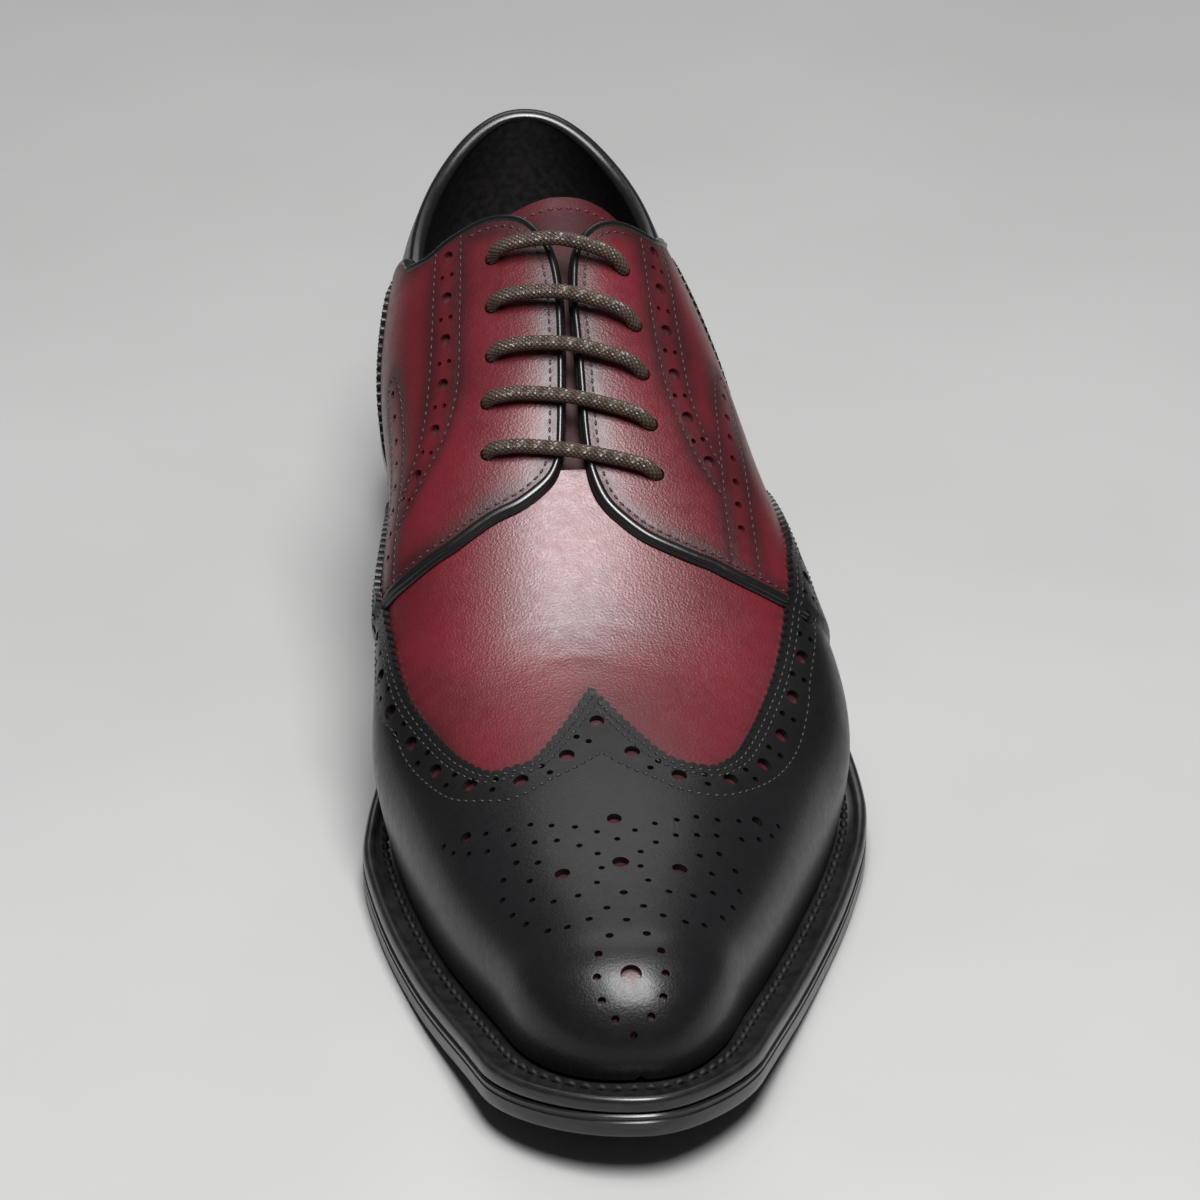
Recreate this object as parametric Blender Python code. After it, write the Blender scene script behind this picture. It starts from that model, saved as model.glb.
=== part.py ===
"""Left shoe of a two-tone lace-up pair, built as the solids that a shoemaker would cut.

Metres, +Z up, the toe towards -Y, the outer side of the foot towards +X, the floor at Z = 0.
One function gives the skin of the last. Each leather piece is a shell of that skin, so the
pieces keep their gaps when a size is changed.
"""
import math
from collections import namedtuple

import bmesh
import bpy
import numpy as np
from mathutils import Vector
from mathutils.geometry import delaunay_2d_cdt

# Sizes of the whole shoe
SOLE_LENGTH = 0.306
BALL_WIDTH = 0.1035
INSTEP_RISE = 0.075

# Thicknesses
OUTSOLE_THICK = 0.0052
WELT_THICK = 0.0036
INSOLE_ABOVE_WELT = 0.0014
TOP_PIECE_THICK = 0.0058
WALL = 0.0018
LAP_RISE = 0.0011
OVERLAY_THICK = 0.0011
TONGUE_THICK = 0.0024

# Clearances between neighbours
SEAT_GAP = 0.0003
LEATHER_GAP = 0.0003
TONGUE_GAP = 0.0023

# How far the upper stands in from the tip and the back of the sole
TOE_STEP = 0.0105
HEEL_STEP = 0.0050

# Round ends of the plan and of the toe box: length of the round stretch, and how square it is
TOE_RUN = 0.0230
TOE_SQUARE = 2.08
LAST_TOE_SQUARE = 2.65
HEEL_RUN = 0.0398
HEEL_SQUARE = 2.15
BOX_RUN = 0.0210
BOX_SQUARE = 2.45

# Curve of the back and of the sides behind the instep: swells out low down, tucks in at the top
BACK_SWELL = 0.0035
BACK_TUCK = 0.0130
BACK_FROM = 0.80
SIDE_TUCK = 0.0220
SIDE_TUCK_FROM = 0.58
SIDE_TUCK_FULL = 0.86
TUCK_RISE = 0.065
TUCK_ABOVE = 0.2

# Edge of the sole and of the heel
EDGE_BEVEL = 0.0009
HEEL_BREAST = 0.742
HEEL_TAPER = 0.0024
HEEL_LIFTS = 3
LIFT_GROOVE = 0.0003

# Throat between the two facings
THROAT = 0.460
SLIT_HALF = 0.0022
LAP_EDGE = 0.0004

# Tongue, as half widths and shares of the upper's length
TONGUE_HALF = 0.0220
TONGUE_FRONT = 0.404
TONGUE_TOP = 0.658
TONGUE_CORNER = 0.028
TONGUE_SEWN = 0.414
TONGUE_FREE = 0.442

# Lace and its punched holes
LACE_DIAMETER = 0.0028
LACE_FLAT = 0.0015
LACE_LIFT = 0.0003
HOLE_DIAMETER = 0.0048
HOLE_PUNCH_LENGTH = 0.0080

# Cross sections of the last: share of the upper's length; half breadths of the sole, as shares
# of BALL_WIDTH; height of the ridge, as a share of INSTEP_RISE; lean of the ridge and belly of
# the sides, as shares of BALL_WIDTH; exponent that makes the top squarer
Section = namedtuple("Section", "along medial lateral ridge lean square belly_medial belly_lateral")
SECTIONS = (
    Section(0.00, 0.231, 0.156, 0.236, 0.000, 2.60, 0.010, 0.010),
    Section(0.05, 0.268, 0.212, 0.281, 0.000, 2.60, 0.020, 0.020),
    Section(0.10, 0.305, 0.269, 0.316, 0.000, 2.55, 0.028, 0.028),
    Section(0.20, 0.383, 0.382, 0.385, 0.000, 2.45, 0.040, 0.040),
    Section(0.30, 0.439, 0.487, 0.475, -0.010, 2.30, 0.050, 0.052),
    Section(0.36, 0.454, 0.533, 0.570, -0.020, 2.35, 0.072, 0.092),
    Section(0.40, 0.440, 0.546, 0.655, -0.020, 2.45, 0.080, 0.080),
    Section(0.45, 0.405, 0.536, 0.770, -0.022, 2.60, 0.094, 0.060),
    Section(0.55, 0.325, 0.460, 0.985, -0.006, 2.35, 0.143, 0.056),
    Section(0.65, 0.300, 0.395, 1.135, 0.004, 2.35, 0.186, 0.022),
    Section(0.75, 0.314, 0.350, 1.225, 0.000, 2.60, 0.146, 0.008),
    Section(0.85, 0.333, 0.350, 1.265, 0.000, 2.90, 0.050, 0.010),
    Section(1.00, 0.324, 0.338, 1.265, 0.000, 3.00, 0.030, 0.030),
)

# How far the sole stands out from the skin of the last, in metres
Ledge = namedtuple("Ledge", "along medial lateral")
LEDGES = (
    Ledge(0.00, 0.0060, 0.0036),
    Ledge(0.05, 0.0068, 0.0050),
    Ledge(0.10, 0.0072, 0.0060),
    Ledge(0.20, 0.0070, 0.0060),
    Ledge(0.30, 0.0070, 0.0060),
    Ledge(0.40, 0.0070, 0.0070),
    Ledge(0.46, 0.0062, 0.0086),
    Ledge(0.55, 0.0052, 0.0093),
    Ledge(0.70, 0.0044, 0.0054),
    Ledge(0.85, 0.0044, 0.0048),
    Ledge(1.00, 0.0046, 0.0046),
)

# Underside of the outsole: share of the sole's length, height over the floor in metres
Arch = namedtuple("Arch", "along height")
ARCHES = (
    Arch(0.00, 0.0095),
    Arch(0.05, 0.0068),
    Arch(0.10, 0.0044),
    Arch(0.16, 0.0018),
    Arch(0.22, 0.0003),
    Arch(0.26, 0.0000),
    Arch(0.34, 0.0000),
    Arch(0.38, 0.0004),
    Arch(0.46, 0.0038),
    Arch(0.55, 0.0098),
    Arch(0.64, 0.0158),
    Arch(0.71, 0.02040),
    Arch(0.735, 0.02062),
    Arch(0.85, 0.02165),
    Arch(1.00, 0.0230),
)

# Top edge of the facings and the collar: share of the upper's length, height over the feather
# line as a share of INSTEP_RISE
TopEdge = namedtuple("TopEdge", "along medial lateral")
TOP_EDGES = (
    TopEdge(0.600, 1.200, 1.200),
    TopEdge(0.625, 1.130, 1.125),
    TopEdge(0.636, 1.118, 1.104),
    TopEdge(0.645, 1.102, 1.050),
    TopEdge(0.652, 1.070, 0.990),
    TopEdge(0.661, 0.930, 0.950),
    TopEdge(0.691, 0.836, 0.870),
    TopEdge(0.720, 0.700, 0.735),
    TopEdge(0.760, 0.570, 0.580),
    TopEdge(0.800, 0.490, 0.490),
    TopEdge(0.850, 0.500, 0.500),
    TopEdge(0.900, 0.550, 0.550),
    TopEdge(0.950, 0.622, 0.622),
    TopEdge(1.000, 0.720, 0.720),
)

# Edges of the panels, drawn on each side of the skin: share of the girth from the top edge (0)
# down to the feather line (1), and share of the upper's length
Edge = namedtuple("Edge", "medial_girth medial lateral_girth lateral")
WING_EDGE = (
    Edge(0.00, 0.322, 0.000, 0.322),
    Edge(0.07, 0.301, 0.055, 0.302),
    Edge(0.14, 0.283, 0.110, 0.284),
    Edge(0.26, 0.263, 0.200, 0.262),
    Edge(0.35, 0.263, 0.300, 0.256),
    Edge(0.43, 0.279, 0.390, 0.265),
    Edge(0.48, 0.304, 0.445, 0.288),
    Edge(0.51, 0.335, 0.475, 0.318),
    Edge(0.53, 0.370, 0.492, 0.350),
    Edge(0.54, 0.405, 0.504, 0.384),
    Edge(0.55, 0.440, 0.514, 0.414),
    Edge(0.58, 0.500, 0.530, 0.456),
    Edge(0.64, 0.560, 0.580, 0.520),
    Edge(0.74, 0.603, 0.700, 0.578),
    Edge(0.86, 0.622, 0.850, 0.608),
    Edge(1.00, 0.630, 1.000, 0.622),
)
FLAP_EDGE = (
    Edge(0.00, THROAT, 0.00, THROAT),
    Edge(0.05, 0.457, 0.04, 0.455),
    Edge(0.10, 0.451, 0.08, 0.447),
    Edge(0.17, 0.445, 0.15, 0.435),
    Edge(0.29, 0.438, 0.25, 0.422),
    Edge(0.42, 0.435, 0.35, 0.414),
    Edge(0.60, 0.446, 0.48, 0.411),
    Edge(1.00, 0.475, 1.00, 0.470),
)
COUNTER_EDGE = (
    Edge(0.00, 0.745, 0.00, 0.735),
    Edge(0.15, 0.703, 0.15, 0.693),
    Edge(0.30, 0.667, 0.30, 0.657),
    Edge(0.40, 0.645, 0.40, 0.632),
    Edge(0.50, 0.628, 0.50, 0.616),
    Edge(0.65, 0.622, 0.65, 0.614),
    Edge(0.85, 0.640, 0.85, 0.634),
    Edge(1.00, 0.668, 1.00, 0.662),
)

# Punched holes, from the lowest pair up: share of the upper's length, distance from the ridge
Eyelet = namedtuple("Eyelet", "medial_along medial lateral_along lateral")
EYELETS = (
    Eyelet(0.486, 0.0180, 0.467, 0.0184),
    Eyelet(0.519, 0.0176, 0.498, 0.0170),
    Eyelet(0.549, 0.0167, 0.530, 0.0156),
    Eyelet(0.583, 0.0161, 0.562, 0.0142),
    Eyelet(0.618, 0.0157, 0.600, 0.0126),
)

# How finely the surfaces are divided
GRID_ROWS = 8
GRID_COLUMNS = (0.0, 0.0016, 0.005, 0.011, 0.020, 0.033, 0.051, 0.075, 0.102, 0.132, 0.164, 0.196,
                0.228, 0.260, 0.293, 0.326, 0.358, 0.390, 0.422, 0.454, 0.486, 0.518, 0.550,
                0.582, 0.612, 0.630, 0.642, 0.652, 0.661, 0.674, 0.690, 0.710, 0.734, 0.760, 0.790,
                0.820, 0.850, 0.880, 0.908, 0.934, 0.956, 0.974, 0.988, 0.997, 1.0)
SLIT_STEPS = (0.0014, 0.0040, 0.0076)
GIRTH_SCALE = 0.085
LINE_STEP = 0.0060
CLEAR_OF_LINES = 0.0026
LAP_HIDDEN = 0.0030
GIRTH_SAMPLES = 49
HEEL_POINTS = 14
HEEL_CROWDING = 1.8
CORD_SIDES = 6

LATERAL, MEDIAL = 1, -1
UPPER_LENGTH = SOLE_LENGTH - TOE_STEP - HEEL_STEP


def smooth_curve(xs, ys, at):
    """A curve through the points that never overshoots them."""
    xs = np.asarray(xs, float)
    ys = np.asarray(ys, float)
    steps = np.diff(xs)
    rates = np.diff(ys) / steps
    slopes = np.zeros(len(xs))
    slopes[0] = rates[0]
    slopes[-1] = rates[-1]
    for k in range(1, len(xs) - 1):
        if rates[k - 1] * rates[k] > 0:
            mean = (rates[k - 1] * steps[k] + rates[k] * steps[k - 1]) / (steps[k - 1] + steps[k])
            limit = 3 * min(abs(rates[k - 1]), abs(rates[k]))
            slopes[k] = max(-limit, min(limit, mean))
    at = np.clip(np.asarray(at, float), xs[0], xs[-1])
    k = np.clip(np.searchsorted(xs, at) - 1, 0, len(steps) - 1)
    u = (at - xs[k]) / steps[k]
    start = (1 + 2 * u) * (1 - u) ** 2 * ys[k] + u * (1 - u) ** 2 * steps[k] * slopes[k]
    end = u * u * (3 - 2 * u) * ys[k + 1] + u * u * (u - 1) * steps[k] * slopes[k + 1]
    return start + end


def column(table, name, at):
    """One named column of a table, read at a share of the length."""
    return smooth_curve([row[0] for row in table], [getattr(row, name) for row in table], at)


def by_side(side):
    return "lateral" if side == LATERAL else "medial"


def round_end(distance, run, square):
    """Rises from 0 at the tip to 1 where the round stretch ends."""
    left = np.clip(1 - np.asarray(distance, float) / run, 0, 1)
    return (1 - left ** square) ** (1 / square)


def smooth_step(low, high, at):
    share = np.clip((np.asarray(at, float) - low) / (high - low), 0, 1)
    return share * share * (3 - 2 * share)


def plan_ends(from_toe, length, toe_square):
    toe = round_end(from_toe, TOE_RUN, toe_square)
    return toe * round_end(length - from_toe, HEEL_RUN, HEEL_SQUARE)


def underside(y):
    """Height of the outsole's underside over the floor."""
    return column(ARCHES, "height", y / SOLE_LENGTH + 0.5)


def feather_height(y):
    """Height of the line where the upper meets the welt."""
    return underside(y) + OUTSOLE_THICK + WELT_THICK + SEAT_GAP


def last_y(along):
    return TOE_STEP + along * UPPER_LENGTH - SOLE_LENGTH / 2


def ridge_height(along):
    rise = round_end(along * UPPER_LENGTH, BOX_RUN, BOX_SQUARE)
    return INSTEP_RISE * column(SECTIONS, "ridge", along) * rise


def last_half(along, side):
    """Half breadth of the last at the feather line."""
    name = by_side(side)
    half = column(SECTIONS, name, along) * BALL_WIDTH - column(LEDGES, name, along)
    return half * plan_ends(along * UPPER_LENGTH, UPPER_LENGTH, LAST_TOE_SQUARE)


def skin_curve(along, side, turn):
    """Points of the last's skin at angles from the ridge (0) to the feather line (quarter turn)."""
    ends = plan_ends(along * UPPER_LENGTH, UPPER_LENGTH, LAST_TOE_SQUARE)
    square = column(SECTIONS, "square", along)
    lean = column(SECTIONS, "lean", along) * BALL_WIDTH * ends
    belly = column(SECTIONS, "belly_" + by_side(side), along) * BALL_WIDTH * ends
    across = np.sin(turn) ** (2 / square)
    upward = np.clip(np.cos(turn), 0, 1) ** (2 / square)
    swell = np.sin(2 * turn).clip(0) ** 1.2 * np.sin(turn)
    y = last_y(along)
    rise = ridge_height(along) * upward
    tall = rise / TUCK_RISE
    tuck = np.clip(tall - TUCK_ABOVE, 0, 1) ** 1.5
    sides = SIDE_TUCK * smooth_step(SIDE_TUCK_FROM, SIDE_TUCK_FULL, along) * ends * tuck * across
    x = side * (last_half(along, side) * across + belly * swell - sides) + lean * upward
    back = smooth_step(BACK_FROM, 1, along)
    out = BACK_SWELL * np.sin(np.clip(tall, 0, 1.2) * math.pi * 0.75)
    return np.stack([x + 0 * turn, y + back * (out - BACK_TUCK * tuck) + 0 * turn,
                     feather_height(y) + rise], axis=-1)


def top_turn(along, side):
    """Angle from the ridge at which the upper's top edge lies: the slit, the facing, the collar."""
    square = float(column(SECTIONS, "square", along))
    if along <= THROAT:
        return 0.0
    past = min((along - THROAT) * UPPER_LENGTH / SLIT_HALF, 1)
    slit = SLIT_HALF * math.sqrt(1 - (1 - past) ** 2)
    half = max(float(last_half(along, side)), slit)
    turn = math.asin((slit / half) ** (square / 2)) if along < TOP_EDGES[5].along else 0.0
    edge = float(column(TOP_EDGES, by_side(side), along)) * INSTEP_RISE
    ridge = float(ridge_height(along))
    if edge < ridge and along > TOP_EDGES[0].along:
        turn = max(turn, math.acos((edge / ridge) ** (square / 2)))
    return turn


def skin_point(along, side, girth, top=None):
    """Point at a share of the girth, from the top edge (or the angle top) to the feather line."""
    start = top_turn(along, side) if top is None else top
    turns = start + (math.pi / 2 - start) * np.linspace(0, 1, GIRTH_SAMPLES) ** 1.3
    curve = skin_curve(along, side, turns)
    length = np.concatenate([[0], np.cumsum(np.linalg.norm(np.diff(curve, axis=0), axis=1))])
    turn = np.interp(girth * length[-1], length, turns)
    return skin_curve(along, side, np.array([turn]))[0]


def skin_at(along, offset, lift):
    """Point of the skin at a signed distance from the ridge, and that far out from it."""
    side = LATERAL if offset >= 0 else MEDIAL

    def walk(share, distance):
        turns = (math.pi / 2) * np.linspace(0, 1, 4 * GIRTH_SAMPLES) ** 1.3
        way = LATERAL if distance >= 0 else MEDIAL
        curve = skin_curve(share, way, turns)
        length = np.concatenate([[0], np.cumsum(np.linalg.norm(np.diff(curve, axis=0), axis=1))])
        return skin_curve(share, way, np.array([np.interp(abs(distance), length, turns)]))[0]

    reach = 0.004
    small = 0.0010
    here = walk(along, offset)
    fore = walk(along + reach, offset) - walk(along - reach, offset)
    cross = walk(along, offset + small) - walk(along, offset - small)
    normal = np.cross(cross, fore)
    normal = normal / np.linalg.norm(normal)
    return here + normal * lift, normal


def edge_along(table, girth, side):
    """Share of the length at which a panel's edge lies, at a share of the girth."""
    name = by_side(side)
    girths = [getattr(row, name + "_girth") for row in table]
    return smooth_curve(girths, [getattr(row, name) for row in table], girth)


def lap_back(girth, side):
    """The line on which the facing has its full thickness, just behind the flap's edge."""
    hidden = smooth_step(0.45, 0.60, girth)
    behind = LAP_EDGE + (LAP_HIDDEN - LAP_EDGE) * hidden
    return edge_along(FLAP_EDGE, girth, side) + behind / UPPER_LENGTH


def panel_lines(side):
    """The panel edges as rows of points in the flat chart of one side of the skin."""
    curves = (
        lambda girth: edge_along(WING_EDGE, girth, side),
        lambda girth: edge_along(FLAP_EDGE, girth, side),
        lambda girth: lap_back(girth, side),
        lambda girth: edge_along(COUNTER_EDGE, girth, side),
    )
    fine = np.linspace(0, 1, 400)
    lines = []
    for curve in curves:
        flat = np.stack([curve(fine) * UPPER_LENGTH, fine * GIRTH_SCALE], axis=-1)
        length = np.concatenate([[0], np.cumsum(np.linalg.norm(np.diff(flat, axis=0), axis=1))])
        count = max(2, round(length[-1] / LINE_STEP))
        girths = np.interp(np.linspace(0, length[-1], count + 1), length, fine)
        lines.append([(float(curve(girth)), float(girth)) for girth in girths])
    return lines


def border_columns(girth, lines):
    """Shares of the length of the chart's points on its top or its bottom border."""
    crossings = sorted(line[0][0] if girth == 0 else line[-1][0] for line in lines)
    if girth == 0:
        crossings += [THROAT + step for step in SLIT_STEPS]
    kept = [share for share in GRID_COLUMNS
            if min(abs(share - crossing) for crossing in crossings) * UPPER_LENGTH > CLEAR_OF_LINES]
    return sorted(kept + crossings)


def chart(side):
    """Triangles that cover one side of the skin, with every panel edge along their sides."""
    lines = panel_lines(side)
    flat = []
    constraints = []
    for line in lines:
        base = len(flat)
        flat += line
        constraints += [(base + k, base + k + 1) for k in range(len(line) - 1)]
    on_lines = np.array(flat) * (UPPER_LENGTH, GIRTH_SCALE)
    for girth in (0.0, 1.0):
        taken = [line[0 if girth == 0 else -1][0] for line in lines]
        flat += [(share, girth) for share in border_columns(girth, lines)
                 if min(abs(share - other) for other in taken) > 1e-6]
    for j in range(1, GRID_ROWS):
        girth = j / GRID_ROWS
        for share in GRID_COLUMNS:
            here = np.array([share * UPPER_LENGTH, girth * GIRTH_SCALE])
            ends = share in (0.0, 1.0)
            if ends or np.min(np.linalg.norm(on_lines - here, axis=1)) > CLEAR_OF_LINES:
                flat.append((share, girth))
    vectors = [Vector((a * UPPER_LENGTH, g * GIRTH_SCALE)) for a, g in flat]
    verts, _, faces, origins, _, _ = delaunay_2d_cdt(vectors, constraints, [], 0, 1e-7)
    places = [flat[origin[0]] if origin else (v.x / UPPER_LENGTH, v.y / GIRTH_SCALE)
              for v, origin in zip(verts, origins)]
    return places, [list(face) for face in faces]


class Skin:
    """The skin of the last, cut into triangles along the panel edges.

    points and outward hold a place and a direction for each corner, lapped says which
    corners lie under the facings' extra thickness, and faces come with the panel they are on.
    """

    def __init__(self):
        self.points = []
        self.outward = []
        self.lapped = []
        self.faces = []
        self.panels = []
        self.feet = {}
        self.numbers = {}
        for side in (LATERAL, MEDIAL):
            self.add_side(side)
        self.find_outward()

    def number(self, along, girth, side):
        point = skin_point(along, side, girth)
        key = tuple(int(round(value * 1e5)) for value in point)
        if key not in self.numbers:
            self.numbers[key] = len(self.points)
            self.points.append(point)
            self.lapped.append(along > float(lap_back(girth, side)) - 1e-6)
        return self.numbers[key]

    def add_side(self, side):
        places, faces = chart(side)
        numbers = [self.number(along, girth, side) for along, girth in places]
        feet = sorted((a, n) for (a, g), n in zip(places, numbers) if g > 1 - 1e-6)
        self.feet[side] = [n for k, (_, n) in enumerate(feet) if k == 0 or n != feet[k - 1][1]]
        for face in faces:
            ids = [numbers[k] for k in face]
            if len(set(ids)) < 3:
                continue
            along = sum(places[k][0] for k in face) / 3
            girth = sum(places[k][1] for k in face) / 3
            panel = "quarters"
            if along < edge_along(WING_EDGE, girth, side):
                panel = "wing"
            elif along > edge_along(COUNTER_EDGE, girth, side):
                panel = "counter"
            self.faces.append(ids if side == LATERAL else ids[::-1])
            self.panels.append(panel)

    def find_outward(self):
        totals = np.zeros((len(self.points), 3))
        points = np.array(self.points)
        for face in self.faces:
            a, b, c = points[face]
            totals[face] += np.cross(b - a, c - a)
        middle = np.array([0, 0, INSTEP_RISE / 2])
        if np.sum(totals * (points - middle)) < 0:
            totals = -totals
        for number, total in enumerate(totals):
            tip = np.linalg.norm(points[number][:2] - (0, last_y(0))) < 1e-6
            foot = number in self.feet[LATERAL] or number in self.feet[MEDIAL]
            back = abs(points[number][0]) < 1e-7 and points[number][1] > 0
            if tip or foot:
                total[2] = 0
            if tip or back:
                total[0] = 0
            self.outward.append(total / np.linalg.norm(total))

    def lap(self, number):
        return LAP_RISE if self.lapped[number] else 0.0


def shell(name, skin, panels, inner, outer):
    """Closed shell over some panels of the skin, from one offset to another."""
    faces = [face for face, panel in zip(skin.faces, skin.panels) if panel in panels]
    used = sorted({number for face in faces for number in face})
    place = {number: k for k, number in enumerate(used)}
    verts = []
    for offset in (outer, inner):
        verts += [skin.points[n] + skin.outward[n] * offset(n) for n in used]
    count = len(used)
    polygons = []
    edges = set()
    for face in faces:
        ids = [place[number] for number in face]
        polygons.append(ids)
        polygons.append([k + count for k in reversed(ids)])
        edges.update(zip(ids, ids[1:] + ids[:1]))
    for a, b in edges:
        if (b, a) not in edges:
            polygons.append([b, a, a + count, b + count])
    return make_object(name, verts, polygons)


def make_object(name, verts, polygons):
    """A closed mesh object whose faces look outwards."""
    mesh = bpy.data.meshes.new(name)
    mesh.from_pydata([tuple(v) for v in verts], [], polygons)
    body = bmesh.new()
    body.from_mesh(mesh)
    bmesh.ops.recalc_face_normals(body, faces=body.faces)
    bmesh.ops.triangulate(body, faces=body.faces)
    body.to_mesh(mesh)
    body.free()
    piece = bpy.data.objects.new(name, mesh)
    bpy.context.collection.objects.link(piece)
    return piece


def sole_half(along, side):
    half = column(SECTIONS, by_side(side), along) * BALL_WIDTH
    return half * plan_ends(along * SOLE_LENGTH, SOLE_LENGTH, TOE_SQUARE)


def close_plan(halves):
    """Plan of points: the lateral ones from front to back, then the medial ones forward."""
    loop = []
    for point in halves[LATERAL] + halves[MEDIAL][::-1]:
        if not loop or min(math.dist(point, loop[-1]), math.dist(point, loop[0])) > 1e-7:
            loop.append(point)
    return loop


def sole_plan(shares=None):
    """Plan of the sole, with points across from the upper's own columns."""
    halves = {}
    for side in (LATERAL, MEDIAL):
        columns = shares or border_columns(1.0, panel_lines(side))
        halves[side] = [(side * float(sole_half(share, side)), (share - 0.5) * SOLE_LENGTH)
                        for share in columns]
    return close_plan(halves)


def wall_plan(skin, depth):
    """Plan of the upper's foot, at a depth inside the skin."""
    halves = {}
    for side in (LATERAL, MEDIAL):
        halves[side] = [tuple((skin.points[n] - skin.outward[n] * depth)[:2])
                        for n in skin.feet[side]]
    return close_plan(halves)


def inset(plan, distance, keep_breast=False):
    """The plan moved inwards along its own normals."""
    moved = []
    count = len(plan)
    for k, (x, y) in enumerate(plan):
        before = plan[k - 1]
        after = plan[(k + 1) % count]
        along = np.array([after[0] - before[0], after[1] - before[1]])
        if keep_breast and k in (0, count - 1):
            along = np.array([0.0, 1.0 if k == 0 else -1.0])
        along = along / np.linalg.norm(along)
        moved.append((x - along[1] * distance, y + along[0] * distance))
    return moved


def cap_faces(ids):
    """Strips of faces across a plan whose points mirror each other from the first on."""
    count = len(ids)
    faces = []
    low = 0
    high = count - 1
    while high - low > 1:
        if high - low == 2:
            faces.append([ids[low], ids[low + 1], ids[high]])
            break
        faces.append([ids[low], ids[low + 1], ids[high - 1], ids[high]])
        low += 1
        high -= 1
    return faces


def stack(name, loops, closed_tip=True):
    """Solid made of plans one above the other."""
    verts = [point for loop in loops for point in loop]
    count = len(loops[0])
    polygons = []
    for level in range(len(loops) - 1):
        base = level * count
        for k in range(count):
            n = (k + 1) % count
            polygons.append([base + k, base + n, base + count + n, base + count + k])
    for base in (0, (len(loops) - 1) * count):
        ids = [base + k for k in range(count)]
        if closed_tip:
            polygons.append([ids[0], ids[1], ids[-1]])
            polygons += cap_faces(ids[1:])
        else:
            polygons += cap_faces(ids)
    return make_object(name, verts, polygons)


def ring(name, loops):
    """Solid ring made of plans that return to the first."""
    verts = [point for loop in loops for point in loop]
    count = len(loops[0])
    polygons = []
    for level in range(len(loops)):
        base = level * count
        over = ((level + 1) % len(loops)) * count
        for k in range(count):
            n = (k + 1) % count
            polygons.append([base + k, base + n, over + n, over + k])
    return make_object(name, verts, polygons)


def laid(plan, height):
    """The plan at a height over the outsole's underside."""
    return [(x, y, float(underside(y)) + height) for x, y in plan]


def build_outsole():
    plan = sole_plan()
    return stack("outsole", [
        laid(inset(plan, EDGE_BEVEL * 1.4), 0),
        laid(plan, EDGE_BEVEL),
        laid(plan, OUTSOLE_THICK - EDGE_BEVEL * 0.6),
        laid(inset(plan, EDGE_BEVEL * 0.7), OUTSOLE_THICK),
    ])


def build_welt(skin):
    plan = sole_plan()
    inner = wall_plan(skin, WALL)
    low = OUTSOLE_THICK + SEAT_GAP
    high = OUTSOLE_THICK + WELT_THICK
    return ring("welt", [
        laid(inset(plan, EDGE_BEVEL * 0.7), low),
        laid(plan, low + EDGE_BEVEL * 0.6),
        laid(plan, high - EDGE_BEVEL),
        laid(inset(plan, EDGE_BEVEL), high),
        laid(inner, high),
        laid(inner, low),
    ])


def build_insole(skin):
    plan = wall_plan(skin, WALL + LEATHER_GAP)
    return stack("insole", [
        laid(plan, OUTSOLE_THICK + SEAT_GAP),
        laid(plan, OUTSOLE_THICK + WELT_THICK + INSOLE_ABOVE_WELT),
    ])


def heel_plan(distance):
    shares = [1 - (1 - HEEL_BREAST) * (1 - k / HEEL_POINTS) ** HEEL_CROWDING
              for k in range(HEEL_POINTS + 1)]
    return inset(sole_plan(shares), distance, keep_breast=True)


def taper(height):
    """The heel's sides draw in towards the floor."""
    return EDGE_BEVEL * 0.5 + HEEL_TAPER * (1 - height / ARCHES[-1].height)


def flat_loop(height, groove=0.0):
    return [(x, y, height) for x, y in heel_plan(taper(height) + groove)]


def build_top_piece():
    return stack("heel_top_piece", [
        flat_loop(0.0, EDGE_BEVEL * 0.7),
        flat_loop(EDGE_BEVEL * 0.7),
        flat_loop(TOP_PIECE_THICK),
    ], closed_tip=False)


def build_heel_stack():
    """Lifts of leather with a shallow groove between one and the next."""
    low = TOP_PIECE_THICK + SEAT_GAP
    high = ARCHES[-3].height - SEAT_GAP - LIFT_GROOVE
    lift = (high - low) / HEEL_LIFTS
    loops = [flat_loop(low, LIFT_GROOVE), flat_loop(low + LIFT_GROOVE)]
    for k in range(1, HEEL_LIFTS):
        joint = low + k * lift
        loops += [flat_loop(joint - LIFT_GROOVE), flat_loop(joint, LIFT_GROOVE),
                  flat_loop(joint + LIFT_GROOVE)]
    top = heel_plan(taper(high))
    loops.append([(x, y, float(underside(y)) - SEAT_GAP) for x, y in top])
    return stack("heel_stack", loops, closed_tip=False)


def tongue_drop(along):
    """Depth of the tongue's face under the facing's lining: sewn in front, free behind."""
    free = smooth_step(TONGUE_SEWN, TONGUE_FREE, along)
    return WALL + LEATHER_GAP + (TONGUE_GAP - LEATHER_GAP) * float(free)


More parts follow.
